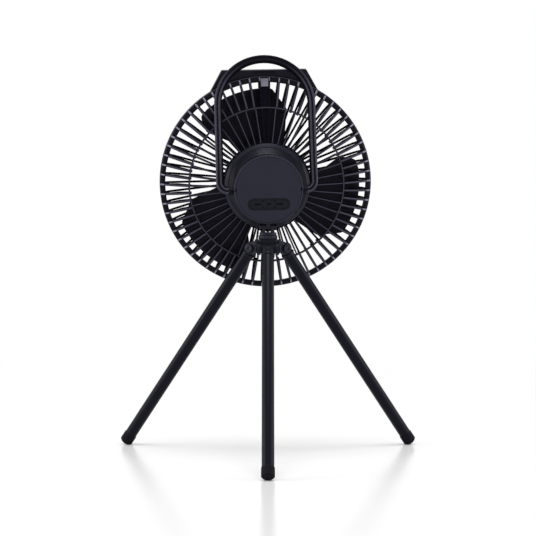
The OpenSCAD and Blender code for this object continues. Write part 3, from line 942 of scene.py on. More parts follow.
@dataclass(frozen=True)
class SoftTouch(Finish):
    """Soft-touch lacquer: dull and velvety, with a faint rub where fingers land."""

    sheen: float = 0.08

    def dress(self, graph: Graph) -> None:
        """Build the lacquer's fine orange peel and its rubbed patches.

        Args:
            graph: The material's graph.
        """
        at = graph.place()
        rub, peel = graph.noise(at, 16.0, 4.0, 0.6), graph.bump(graph.noise(at, 0.55), 0.006)
        dust = graph.bump(graph.noise(at, 0.16), 0.005, peel)
        self.coat(graph, self.tint(graph, rub, 0.93, 1.08), dust, rub, 0.05)
        graph.drive("Sheen Weight", self.sheen)
        graph.drive("Sheen Roughness", 0.4)


@dataclass(frozen=True)
class Rubber(Finish):
    """Black rubber with a dull, dusty bloom."""

    def dress(self, graph: Graph) -> None:
        """Build the bloom and the pebbled skin.

        Args:
            graph: The material's graph.
        """
        at = graph.place()
        bloom, skin = graph.noise(at, 3.2, 4.0, 0.65), graph.bump(graph.cells(at, 0.5), 0.03)
        self.coat(graph, self.tint(graph, bloom, 0.8, 1.45), skin, bloom, 0.08)


@dataclass(frozen=True)
class Anodised(Finish):
    """Anodised aluminium tube, with faint drawing lines along it."""

    angle: float = 0.0
    splay: float = Stance.leg_splay

    def dress(self, graph: Graph) -> None:
        """Build the drawing lines along the tube and the dye's slight change of shade.

        Args:
            graph: The material's graph.
        """
        upright = graph.place()
        along = graph.place((1, 1, 40), (0, 180 - self.splay, self.angle))
        lines, dye = graph.noise(along, 0.28, 3.0, 0.6), graph.noise(upright, 14.0, 3.0)
        etch = graph.bump(graph.noise(upright, 0.14), 0.006, graph.bump(lines, 0.006))
        self.coat(graph, self.tint(graph, dye, 0.88, 1.12), etch, lines, 0.06)


@dataclass(frozen=True)
class Metal(Finish):
    """Bare or plated metal with fine tool marks."""

    metallic: float = 1.0
    marks: float = 0.35

    def dress(self, graph: Graph) -> None:
        """Build tool marks, small scratches and a little staining.

        Args:
            graph: The material's graph.
        """
        stain = graph.noise(graph.place(), 5.0, 4.0, 0.6)
        marks = graph.noise(graph.place((1, 1, 0.1)), self.marks, 3.0, 0.7)
        self.coat(graph, self.tint(graph, stain, 0.82, 1.1), graph.bump(marks, 0.008), marks, 0.1)
        graph.drive("Metallic", self.metallic)


@dataclass(frozen=True)
class Cast(Finish):
    """Black powder coat over a casting: a pebbled skin that catches light."""

    pebble: float = 0.7

    def dress(self, graph: Graph) -> None:
        """Build the coat's pebbles and its thin places.

        Args:
            graph: The material's graph.
        """
        at = graph.place()
        pebble, thin = graph.noise(at, self.pebble, 3.0, 0.55), graph.noise(at, 4.0, 4.0, 0.6)
        skin = graph.bump(graph.noise(at, 0.2), 0.01, graph.bump(pebble, 0.04))
        self.coat(graph, self.tint(graph, thin, 0.85, 1.25), skin, pebble, 0.09)


@dataclass(frozen=True)
class Frosted(Finish):
    """Frosted clear plastic that carries a lamp's light."""

    def dress(self, graph: Graph) -> None:
        """Build the frosting.

        Args:
            graph: The material's graph.
        """
        at = graph.place()
        frost = graph.bump(graph.noise(at, 0.1), 0.01)
        self.coat(graph, self.tint(graph, graph.noise(at, 0.4), 0.9, 1.1), frost)
        graph.drive("Transmission Weight", 0.15)


@dataclass(frozen=True)
class Banded(Finish):
    """A surface built up in bands: stacked sheets, wound wire or shrink wrap."""

    other: Colour = (0.5, 0.5, 0.5)
    pitch: float = 0.5
    metallic: float = 0.0
    depth: float = 0.05

    def dress(self, graph: Graph) -> None:
        """Build the bands and the wear on them.

        Args:
            graph: The material's graph.
        """
        at = graph.place()
        bands, wear = graph.bands(at, self.pitch), graph.noise(at, 1.2, 4.0)
        colour = graph.blend(bands, self.colour, self.other, 0.15, 0.85)
        self.coat(graph, colour, graph.bump(bands, self.depth), wear, 0.08)
        graph.drive("Metallic", self.metallic)


@dataclass(frozen=True)
class Board(Finish):
    """A circuit board: green mask over copper tracks."""

    def dress(self, graph: Graph) -> None:
        """Build the tracks and the mask over them.

        Args:
            graph: The material's graph.
        """
        cells = graph.cells(graph.place(), 3.0, Spread.SQUARE)
        tracks = graph.ranged(cells, 1.0, 0.0, 0.42, 0.5)
        self.coat(graph, self.tint(graph, tracks, 1.0, 2.2), graph.bump(tracks, 0.03))


class Paint(Enum):
    """The fan's finishes."""

    GRILLE = Moulded("grille_plastic", tone(19, 18, 26), 0.45, gloss=0.0015)
    # Painted light: lit faces of the grille (rib crests, the ring's rear face, the rim's bead, the front
    # ribs' front faces) are painted lighter than the same plastic.
    RIB_BACK = Moulded("rib_back", tone(56, 55, 68), 0.3, gloss=0.16)
    # Painted highlight: rib ends that run over the rim are painted much lighter than the same black
    # plastic.
    RIB_END = Moulded("rib_end", tone(126, 124, 140), 0.3, gloss=0.2)
    # Painted highlight: the latch plate is painted mid-grey, on what is black plastic catching light.
    LATCH = Moulded("latch_plastic", tone(124, 122, 137), 0.34, gloss=0.3)
    BLOCK = Moulded("block_plastic", tone(24, 23, 31), 0.32, gloss=0.1)
    # Painted shade: the rims are painted near-black, darker than the grille plastic, as shade between the
    # rib ends; partly the plastic's own black.
    RIM = Moulded("rim_plastic", tone(15, 15, 23), 0.3, gloss=0.1)
    HOUSING = Moulded("housing_plastic", tone(31, 31, 41), 0.34, gloss=0.12)
    KNURL = Moulded("knurl_plastic", tone(18, 18, 27), 0.34, gloss=0.12, grain=0.5, depth=0.012)
    COVER = SoftTouch("cover_lacquer", tone(41, 41, 53), 0.6, gloss=0.12, sheen=0.03)
    BEZEL = Moulded("bezel_plastic", tone(27, 28, 34), 0.5, gloss=0.1)
    BUTTON = Rubber("button_rubber", tone(25, 26, 32), 0.6, gloss=0.1)
    # Near-black on the walls and floors that the notch, tick and bar cutters leave.
    MARK = Moulded("mark_ink", tone(8, 8, 12), 0.5, gloss=0.06)
    # Painted shade: the handle turns to the darker other colour over its crown, above the given heights.
    HANDLE = PaintedShadeAbove(
        "handle_plastic", tone(38, 36, 50), 0.26, gloss=0.45, other=tone(15, 14, 21), rise=(334, 352)
    )
    # Painted shade: the handle's groove floor and its bosses are painted darker than the handle.
    GROOVE = Moulded("handle_groove", tone(15, 14, 22), 0.5, gloss=0.1)
    LINING = Rubber("handle_lining", tone(6, 6, 10), 0.75, gloss=0.05)
    BLADE = Moulded("blade_plastic", tone(34, 33, 42), 0.32, gloss=0.06, mottle=0.08)
    BADGE = Moulded("badge_plastic", tone(22, 22, 32), 0.35, gloss=0.2)
    NUT = Moulded("nut_plastic", tone(24, 24, 32), 0.5, gloss=0.15)
    HUB = Cast("cast_hub", tone(20, 20, 30), 0.45, gloss=0.14)
    FITTING = Cast("leg_fitting", tone(14, 14, 22), 0.48, gloss=0.12, pebble=0.5)
    COLLAR = Metal("leg_collar", tone(26, 26, 36), 0.3, gloss=0.3, metallic=0.5)
    TUBE_REAR = Anodised("leg_tube_m90", tone(9, 9, 20), 0.34, gloss=0.12, angle=-90)
    TUBE_RIGHT = Anodised("leg_tube_30", tone(9, 9, 20), 0.34, gloss=0.12, angle=30)
    TUBE_LEFT = Anodised("leg_tube_150", tone(9, 9, 20), 0.34, gloss=0.12, angle=150)
    RING = Metal("thumb_ring", tone(44, 44, 54), 0.4, gloss=0.3, metallic=0.7)
    NECK = Cast("neck_coat", tone(24, 24, 34), 0.42, gloss=0.2, pebble=0.5)
    FOOT = Rubber("foot_rubber", tone(14, 14, 20), 0.66, gloss=0.1)
    FLAP = Rubber("flap_rubber", tone(10, 10, 15), 0.66, gloss=0.1)
    SCREW = Metal("screw_black", tone(40, 40, 48), 0.36, gloss=0.3, metallic=0.6, marks=0.25)
    STEEL = Metal("steel", tone(150, 150, 155), 0.3, marks=0.25)
    NICKEL = Metal("switch_metal", tone(190, 186, 178), 0.25, marks=0.2)
    MAGNET = Metal("magnet", tone(70, 70, 74), 0.45)
    PIPE = Frosted("light_pipe", tone(30, 30, 38), 0.4, gloss=0.2)
    TRAY = Moulded("tray_plastic", tone(40, 48, 50), 0.5)
    CELL = Banded("cell_wrap", tone(40, 74, 120), 0.35, other=tone(46, 84, 134), pitch=6, depth=0.01)
    IRON = Banded("motor_iron", tone(96, 96, 98), 0.45, other=tone(60, 60, 62), metallic=0.9)
    COPPER = Banded(
        "copper", tone(172, 96, 52), 0.3, other=tone(120, 60, 30), pitch=0.35, metallic=1.0
    )
    BOARD = Board("board", tone(18, 66, 40), 0.35)


@dataclass
class Group:
    """A sub-assembly, built where the fan's stance puts it."""

    stance: Stance = Stance()

    def build(self) -> Iterator[Part]:
        """Build the sub-assembly, piece by piece."""
        raise NotImplementedError


# ---- Tripod ---------------------------------------------------------------------------------


class Leg(Enum):
    """The legs, each with where it stands round the tripod, in degrees."""

    REAR = -90
    RIGHT = 30
    LEFT = 150


@dataclass
class Tripod(Group):
    """The folding stand: its hub, and three legs that fold up against each other."""

    tube_r: float = 5.4
    tube_bore: float = 4.5
    tube_start: float = 9.6
    tube_short: float = 1.5
    collar_r: float = 6.0
    collar_start: float = 7.6
    foot_r: float = 5.9
    foot_sleeve: float = 7.5
    foot_cap: Pair = (7.5, 3.7)
    foot_gap: float = 0.02
    floor_gap: float = 0.05
    sides: int = 64

    def build(self) -> Iterator[Part]:
        """Build the hub and the legs.

        Yields:
            Each finished piece.
        """
        yield cast("tripod_hub", 0.6, Paint.HUB, "tripod", "cast_hub", 3)
        for node in ("leg_screws", "leg_nuts"):
            yield cast(node, 0.3, Paint.SCREW, "tripod", "screw_black")
        for leg in Leg:
            yield from self.leg(leg)

    def leg(self, leg: Leg) -> Iterator[Part]:
        """Build one leg: its fitting, collar, tube and foot.

        Args:
            leg: Which leg.

        Yields:
            Each finished piece.
        """
        side, place = leg.name.lower(), self.stance.tube(leg.value)
        body, bore, start = f"{side}_leg", self.tube_bore, self.tube_start
        yield cast(f"{body}_fitting", 0.45, Paint.FITTING, body, "leg_fitting")
        low, r = self.collar_start, self.collar_r
        profile = [
            (bore, low), (r, low, 0.3), (r, low + 0.8), (r - 0.3, low + 0.9), (r - 0.3, low + 1.1),
            (r, low + 1.2), (r, start, 0.3), (bore, start),
        ]
        collar = Work.lathe(f"{side}_collar", profile, self.sides)
        yield collar.lay(place).paint(Paint.COLLAR).fit(body, "leg_collar", f"{body}_collar")
        r, end = self.tube_r, self.stance.leg_length - self.tube_short
        profile = [(bore, start), (r, start, 0.25), (r, end, 0.2), (bore, end)]
        tube = Work.lathe(f"{side}_tube", profile, self.sides)
        tube.lay(place).paint(Paint[f"TUBE_{leg.name}"])
        yield tube.fit(body, "leg_tube", f"{body}_tube")
        yield self.foot(side, place)

    def foot(self, side: str, place: Matrix) -> Part:
        """Build a rubber foot: a grooved sleeve with a low domed end and a worn flat.

        Args:
            side: The leg's name.
            place: The leg's frame.

        Returns:
            The finished piece.
        """
        end, r, snug = self.stance.leg_length, self.foot_r, self.tube_r + self.foot_gap
        top, floor = end - self.foot_sleeve, end - self.tube_short
        cap_r, back = self.foot_cap
        arc = [math.radians(a) for a in range(50, 0, -6)]
        dome = [(cap_r * math.sin(a), end - back + cap_r * math.cos(a)) for a in arc]
        profile = [
            (snug, floor), (snug, top), (r - 0.1, top, 0.35), (r, top + 1.0), (r, top + 2.2),
            (r - 0.25, top + 2.45, 0.15), (r - 0.25, top + 2.95, 0.15), (r, top + 3.2), (r, end + 0.7),
            *dome, (0, end - back + cap_r), (0, floor),
        ]
        foot = Work.lathe(f"{side}_foot", profile, self.sides)
        foot.move(place).slice((0, 0, self.floor_gap), (0, 0, -1))
        return foot.lay(Matrix()).paint(Paint.FOOT).fit(f"{side}_leg", "rubber_foot", f"{side}_leg_foot")


# ---- Neck -----------------------------------------------------------------------------------


class Neck(Group):
    """What joins the tripod to the head: thumb screw, neck with two prongs, tilt bolt, bracket."""

    def build(self) -> Iterator[Part]:
        """Build the thumb screw, the neck and the tilt joint.

        Yields:
            Each finished piece.
        """
        yield cast("thumb_ring", 0.22, Paint.RING, "thumb_screw", "leg_collar")
        yield cast("thumb_stud", 0.3, Paint.SCREW, "thumb_screw", "steel")
        yield cast("neck", 0.45, Paint.NECK, "neck", "cast_hub", 3)
        for node, width in (("tilt_bolt", 0.25), ("tilt_nut", 0.2), ("tilt_washers", 0.06)):
            yield cast(node, width, Paint.SCREW, "neck", "steel")
        yield cast("tilt_bracket", 0.3, Paint.NECK, "head", "cast_hub")


# ---- Housing --------------------------------------------------------------------------------


@dataclass
class Housing(Group):
    """The fan's middle: a barrel with a knurled grip band and a cone, and its rear cover."""

    barrel_r: float = 30.2
    bore_r: float = 28.4
    shaft_bore: float = 4.0
    tower_r: float = 5.5
    tower_end: float = 21.0
    rear: float = -15.2
    sides: int = 108
    band: Pair = (-13.6, 5.3)
    band_rows: int = 7
    band_height: float = 0.24
    cone: Point = (-2.0, 5.4, 35.2)
    cone_rows: int = 5
    flange_r: float = 38.6
    flange_z: float = 10.5
    cover_r: float = 30.8
    cover_wall: float = 2.3
    groove_r: float = 29.1
    skirt: Point = (26.4, 28.2, -11.8)
    notch_size: Point = (1.3, 3.2, 2.4)
    notch_out: float = 0.25
    mouth: Pair = (38.0, 10.8)
    mouth_edge: float = 0.3
    pipe_r: float = 0.55
    pipe_hole_r: float = 0.62
    pipe_drop: float = 3.4
    pipe_places: tuple[float, ...] = (-3.3, -1.1, 1.1, 3.3)
    port_angle: float = -52.0
    port_z: float = -7.6
    port_size: Point = (9.4, 3.7, 1.5)
    port_depth: float = 4.0
    slot_size: Point = (4.1, 8.2, 8.0)
    slot_z: float = 6.0
    pin_r: float = 2.05
    pin_reach: float = 33.0

    def build(self) -> Iterator[Part]:
        """Build the barrel, the cover, the light pipes and the port's flap.

        Yields:
            Each finished piece.
        """
        yield self.barrel()
        yield self.cover()
        yield self.pipes()
        yield cast("port_flap", 0.35, Paint.FLAP, "port_flap", "rubber_foot", 3)

    def barrel(self) -> Part:
        """Turn the barrel, raise its grip band and cut its openings.

        Returns:
            The finished piece.
        """
        (low, high), (start, end, wide), r = self.band, self.cone, self.barrel_r
        edge, face, neck, bore = self.flange_r, self.flange_z, self.tower_r, self.shaft_bore
        count = self.band_rows
        rows = [(r, low + (start - low) * i / count) for i in range(count)]
        count = self.cone_rows
        rows += [
            (r + (wide - r) * i / count, start + (end - start) * i / count) for i in range(count + 1)
        ]
        profile = [
            (bore, 7.0), (self.bore_r, 7.0), (self.bore_r, self.rear), (r, self.rear, 0.3), *rows,
            (wide - 0.6, end + 0.3), (wide - 0.6, end + 0.9), (wide + 0.3, end + 0.9, 0.3),
            (edge - 0.4, 8.6, 0.5), (edge, 9.2, 0.4), (edge, face, 0.2), (edge - 1.6, face),
            (edge - 1.6, face - 1), (neck, face - 1, 0.5), (neck, self.tower_end, 0.3),
            (bore, self.tower_end),
        ]
        housing = Work.lathe("housing_barrel", profile, self.sides)
        housing.edit().pick(
            Pick.FACES, lambda f: low < middle(f).z < high and radius(middle(f)) > r - 0.2
        )
        bpy.ops.mesh.poke(offset=self.band_height)
        housing.move(self.stance.fan()).mix(Mix.CUT, *self.openings()).lay(Matrix())
        housing.paint(Paint.HOUSING, (Paint.KNURL, self.on_band))
        return housing.fit("head", "housing_plastic", "housing")

    def on_band(self, face: Face) -> bool:
        """Tell whether a face, laid down in the fan's own frame, is on the grip band."""
        local = self.stance.fan().inverted() @ (face.center / MM)
        return self.band[0] < local.z < self.band[1] and radius(local) > self.barrel_r - 0.1

    def openings(self) -> list[Work]:
        """Make the cutters for the tongue's slot, the port and the handle's screws.

        Returns:
            The cutters, in place.
        """
        slot = Work.block("slot_cutter", self.slot_size, (0, 0, self.slot_z)).move(self.stance.head())
        port = Work.plate("port_cutter", slab(*self.port_size), -self.port_depth, self.port_depth)
        port.move(self.port())
        pins = Work.cylinder("pin_cutter", self.pin_r, -self.pin_reach, self.pin_reach, 32)
        pins.move(self.stance.pivots() @ turned("Y", 90))
        return [slot, port, pins]

    def port(self) -> Matrix:
        """Return the charging port's frame: z out of the barrel, y along the fan's axis."""
        foot = self.stance.fan() @ clock(self.port_angle) @ shift(self.barrel_r, 0, self.port_z)
        return foot @ turned("Y", 90) @ turned("Z", 90)

    def cover(self) -> Part:
        """Turn the rear cover, and cut its pill-shaped recess, notches and light holes.

        Returns:
            The finished piece.
        """
        face, r, groove = self.stance.cover_face, self.cover_r, self.groove_r
        inside, (skirt_in, skirt_out, skirt_end) = face + self.cover_wall, self.skirt
        profile = [
            (0, face), (groove, face, 0.12), (groove, face + 0.6), (groove + 0.42, face + 0.6),
            (groove + 0.42, face + 0.08, 0.1), (groove + 0.9, face + 0.12, 0.3), (r, face + 0.95, 0.45),
            (r, inside, 0.15), (skirt_out, inside), (skirt_out, skirt_end), (skirt_in, skirt_end),
            (skirt_in, inside), (0, inside),
        ]
        cover = Work.lathe("rear_cover_disc", profile, 128, closed=False).paint(Paint.COVER)
        tools = []
        for side in (-1, 1):
            place = (side * (groove + self.notch_out), 0, face)
            tools.append(Work.block("notch_cutter", self.notch_size, place).paint(Paint.MARK))
        mouth = Work.plate("recess_cutter", pill(*self.mouth), face - 1, face + 4)
        mouth.move(shift(0, self.stance.panel_drop, 0))
        tools.append(mouth.paint(Paint.BEZEL))
        for place in self.pipe_row():
            hole = Work.cylinder("light_cutter", self.pipe_hole_r, face - 1, face + 4, 20)
            tools.append(hole.move(place).paint(Paint.BEZEL))
        cover.mix(Mix.CUT, *tools).bevel(self.mouth_edge, 2, self.on_mouth)
        return cover.lay(self.stance.fan()).fit("head", "cover_plastic", "rear_cover")

    def on_mouth(self, edge: Element) -> bool:
        """Tell whether an edge runs along the recess's outline on the cover's face.

        Args:
            edge: An edge of the cover, in the fan axis's frame.

        Returns:
            Whether it does.
        """
        face, drop = self.stance.cover_face, self.stance.panel_drop
        if abs(middle(edge).z - face) >= 0.01 or len({round(v.co.z, 2) for v in edge.verts}) > 1:
            return False
        half, end = self.mouth[1] / 2, self.mouth[0] / 2 - self.mouth[1] / 2
        for corner in edge.verts:
            x, y = abs(corner.co.x), corner.co.y - drop
            if abs(math.hypot(max(x - end, 0), y) - half) > 0.06:
                return False
        straight = abs(abs(middle(edge).y - drop) - half) < 0.06
        return straight or (edge.verts[0].co - edge.verts[1].co).length < 2

    def pipe_row(self) -> list[Matrix]:
        """Return where the light pipes stand on the cover, in the fan axis's frame."""
        return [shift(x, self.pipe_drop, 0) for x in self.pipe_places]

    def pipes(self) -> Part:
        """Turn one light pipe with a domed end and copy it to the four holes.

        Returns:
            The finished piece.
        """
        face, r = self.stance.cover_face, self.pipe_r
        profile = [(0, face + 0.1), (r, face + 0.18, 0.1), (r, face + 5.9), (0, face + 5.9)]
        pipe = Work.lathe("light_pipe_row", profile, 20, closed=False).copies(self.pipe_row())
        return pipe.lay(self.stance.fan()).paint(Paint.PIPE).fit("head", "light_pipe", "light_pipes")


# ---- Buttons --------------------------------------------------------------------------------


@dataclass(frozen=True)
class Key:
    """One of the buttons: its place in the row, and the bar pressed into its face."""

    name: str
    place: float
    bar: float
    bar_place: float


@dataclass
class ButtonPanel(Group):
    """The sunk pill with three rubber buttons in a row."""

    size: Pair = (37.9, 10.7)
    face: float = 0.6
    flange_z: Pair = (2.2, 3.3)
    flange_lip: float = 0.9
    line_sizes: tuple[Pair, Pair] = ((35.4, 8.7), (34.8, 8.1))
    line_depth: float = 0.18
    slot_size: Point = (33.0, 7.3, 1.75)
    key_size: Point = (10.86, 7.16, 1.65)
    key_back: float = 4.3
    bar_height: float = 1.5
    bar_corner: float = 0.35
    bar_depth: float = 0.3
    edge: float = 0.12
    keys: tuple[Key, ...] = (
        Key("left_button", -11.0, 6.1, -10.0),
        Key("middle_button", 0.0, 3.6, 0.0),
        Key("right_button", 11.0, 6.8, 9.5),
    )

    def build(self) -> Iterator[Part]:
        """Build the bezel and the buttons.

        Yields:
            Each finished piece.
        """
        yield self.bezel()
        for key in self.keys:
            yield self.button(key)

    def bezel(self) -> Part:
        """Build the bezel: a pill with a fine line round a slot for the buttons.

        Returns:
            The finished piece.
        """
        (low, high), (outer, inner) = self.flange_z, self.line_sizes
        bezel = Work.plate("button_panel", pill(*self.size), self.face, low + 0.1)
        bezel.mix(Mix.WELD, Work.plate("panel_flange", pill(*self.size, self.flange_lip), low, high))
        line = Work.plate("line_cutter", pill(*outer), -1, self.face + self.line_depth)
        line.mix(Mix.CUT, Work.plate("line_core", pill(*inner), -2, 2))
        bezel.mix(Mix.CUT, line, Work.plate("key_cutter", slab(*self.slot_size), -1, 4))
        bezel.soften(self.edge, 2).lay(self.stance.panel()).paint(Paint.BEZEL)
        return bezel.fit("head", "bezel_plastic", "button_bezel")

    def button(self, key: Key) -> Part:
        """Build one button with soft edges and its pressed-in bar.

        Args:
            key: Which button.

        Returns:
            The finished piece.
        """
        button = Work.plate(f"{key.name}_cap", slab(*self.key_size), self.face, self.key_back)
        button.bevel(self.edge, 2, lambda e: abs(middle(e).z - self.face) < 0.005).paint(Paint.BUTTON)
        outline = slab(key.bar, self.bar_height, self.bar_corner)
        mark = Work.plate("bar_cutter", outline, -1, self.face + self.bar_depth)
        button.mix(Mix.CUT, mark.move(shift(key.bar_place - key.place, 0, 0)).paint(Paint.MARK))
        button.lay(self.stance.panel() @ shift(key.place, 0, 0))
        return button.fit(key.name, "button_rubber", key.name)


# ---- Grilles --------------------------------------------------------------------------------


@dataclass
class Grille(Group):
    """One half of the guard."""

    guard_r: float = 96.5
    ribs: int = 66

    def rib_turns(self, first: int = 0, last: int = 0) -> Iterator[Matrix]:
        """Return the ribs' places from the top on, less some at the start and at the end."""
        span = range(first, self.ribs - last)
        return (clock(90 + (i + 0.5) * (360 / self.ribs)) for i in span)


@dataclass
class RearGrille(Grille):
    """The dished rear grille: fine ribs inside a thin ring, wider and deeper ones outside it."""

    rib_inset: float = 0.6
    dish_r: float = 104.0
    dish_centre: Pair = (25.9, 113.2)
    ring_r: float = 70.0
    ring_half: float = 0.8
    sweep: Pair = (88.0, 33.0)
    seam: float = 39.9
    inner_ribs: int = 48
    rib_start: float = 38.9
    rib_step: float = 3.5
    outer_section: Pair = (2.2, 14.0)
    inner_section: Pair = (1.5, 5.5)
    strut_section: Pair = (1.7, 4.5)
    strut_half: Pair = (1.6, 4.55)
    web_end: float = 93.0
    web_depth: float = 1.4
    web_sink: float = 1.5
    plate_r: Pair = (17.0, 40.2)
    plate_z: Pair = (10.6, 12.6)
    rim_inner: float = 91.3
    rim_end_r: float = 92.2

    def dish(self, r: float) -> float:
        """Return where the dish's rear surface stands at a radius."""
        centre_r, centre_z = self.dish_centre
        return centre_z - math.sqrt(self.dish_r**2 - (r - centre_r) ** 2)

    def swing(self, r: float) -> float:
        """Return the angle at a radius on the dish's arc, in radians from its axis."""
        return math.asin((r - self.dish_centre[0]) / self.dish_r)

    def rib(
        self, name: str, start: float, end: float, width: float, depth: float, sink: float = 0.0
    ) -> Work:
        """Spin a rib's round-edged section along the dish's arc, standing along x.

        Args:
            name: What the rib is called.
            start: Radius where it starts.
            end: Radius where it ends.
            width: Its width.
            depth: Its depth.
            sink: How far its rear surface lies under the dish's.

        Returns:
            The rib on the bench, in the fan frame.
        """
        centre_r, centre_z = self.dish_centre
        low, high = self.dish_r - sink - depth, self.dish_r - sink
        section = bar(width / 2, low, high, 0.2, min(width * 0.42, 0.8))
        first, last = self.swing(start), self.swing(end)
        points = [
            (centre_r + d * math.sin(first), y, centre_z - d * math.cos(first)) for y, d in section
        ]
        steps = max(4, round((end - start) / self.rib_step))
        rib = Work.chain(name, points)
        return rib.spin(steps, last - first, (centre_r, 0, centre_z), (0, 1, 0)).cap()

    def outer_rib(self) -> Work:
        """Cut an outer rib out of a deep one: it fills the guard at the rim and clears the blades.

        Returns:
            The rib on the bench, standing along x.
        """
        end, low, (edge, flat) = self.guard_r - self.rib_inset, self.ring_r - 6, self.sweep
        rib = self.rib("outer_rib", self.ring_r + 0.1, end, *self.outer_section)
        outline = [
            (low, flat - 12.8), (self.ring_r + 10, flat), (edge, flat), (edge, self.seam),
            (end + 9, self.seam), (end + 9, 60), (low, 60),
        ]
        clear = Work.plate("rib_clearance", outline, -5, 5).move(turned("X", 90))
        return rib.mix(Mix.CUT, clear)

    def build(self) -> Iterator[Part]:
        """Build the grille and its latch.

        Yields:
            Each finished piece.
        """
        # The ribs get painted light on their crests and a painted highlight where they run over the rim.
        outer = self.paint_rib(self.outer_rib()).copies(self.rib_turns(1, 1))
        inner = self.rib("inner_rib", self.rib_start, self.ring_r - 0.1, *self.inner_section)
        step = 360 / self.inner_ribs
        self.paint_rib(inner).copies(clock(90 + i * step) for i in range(1, self.inner_ribs))
        near, far = self.ring_r - self.ring_half, self.ring_r + self.ring_half
        low = self.dish(near) - 0.1
        profile = [(near, low, 0.5), (far, low, 0.5), (far, low + 2.6), (near, low + 2.6)]
        ring = Work.lathe("middle_ring", profile, 144)
        # Painted light: the ring's rear faces are painted lighter, as lit faces.
        ring.paint(Paint.GRILLE, (Paint.RIB_BACK, lambda face: face.normal.z < -0.9))
        (near, far), (low, high) = self.plate_r, self.plate_z
        profile = [(near, low), (far, low, 0.4), (far, high, 0.4), (near, high)]
        plate = Work.lathe("flange_plate", profile).paint(Paint.GRILLE)
        grille = outer.join(inner, ring, plate, *self.strut()).called("rear_ribs")
        yield grille.lay(self.stance.fan()).fit("head", "grille_plastic", "rear_grille")
        yield self.rim()
        # The latch is painted mid-grey: a painted highlight on black plastic.
        yield cast("grille_latch", 0.35, Paint.LATCH, "head", "grille_plastic", 3)

    def paint_rib(self, rib: Work, crest: Paint = Paint.RIB_BACK) -> Work:
        """Paint a rib along x: a painted highlight along its crest, and a brighter painted highlight
        where it runs over the rim.
        """
        return rib.paint(Paint.GRILLE, (crest, self.on_crest), (Paint.RIB_END, self.on_rim))

    def on_crest(self, face: Face) -> bool:
        """Tell whether a face of a rib along x is on its crest."""
        return face.normal.z < -0.3 and abs(face.normal.y) < 0.55

    def on_rim(self, face: Face) -> bool:
        """Tell whether a face of a rib along x runs over the rim."""
        outside = radius(face.center) > self.rim_end_r
        return outside and face.normal.z < 0.5 and abs(face.normal.y) < 0.6

    def rim(self) -> Part:
        """Turn the rear half of the rim, with a shallow bead and a step at the seam.

        Returns:
            The finished piece.
        """
        r, inner = self.guard_r, self.rim_inner
        profile = [
            (inner, 36.4, 0.4), (94.9, 36.4, 0.3), (r, 37.6, 0.8), (r, 39.6, 0.2),
            (r - 0.4, 39.7), (r - 0.4, 40.0), (inner, 40.0, 0.4),
        ]
        rim = Work.lathe("rear_rim", profile, 192)
        # Painted shade on the rim's near-black face, and painted light on the bead along its outer edge.
        rim.paint(
            Paint.RIM,
            (Paint.RIB_BACK, lambda face: face.center.z < 38.5 and radius(face.center) > r - 0.6),
        )
        return rim.lay(self.stance.fan()).fit("head", "grille_plastic", "rear_grille")

    def strut(self) -> list[Work]:
        """Make the strut at the top: two ribs that spread outwards, and a sunk web between.

        Returns:
            The strut's pieces, in place.
        """
        (near, far), start, end = self.strut_half, self.rib_start, self.guard_r - self.rib_inset
        spread = math.degrees(math.atan((far - near) / (end - start)))
        web = self.rib("strut_web", start, self.web_end, 2 * far, self.web_depth, self.web_sink)
        pieces = [web.paint(Paint.GRILLE)]
        for side in (-1, 1):
            turn = turned("Z", side * spread)
            web.slice((start, side * near, 0), tuple(turn @ Vector((0, side, 0))))
            rib = self.rib("strut_rib", start, end, *self.strut_section)
            # The strut's ribs get no lit crest, only the painted highlight where they run over the rim.
            self.paint_rib(rib, Paint.GRILLE)
            rib.move(clock(90) @ shift(start, side * near, 0) @ turn @ shift(-start, 0, 0))
            pieces.append(rib)
        web.move(clock(90))
        return pieces


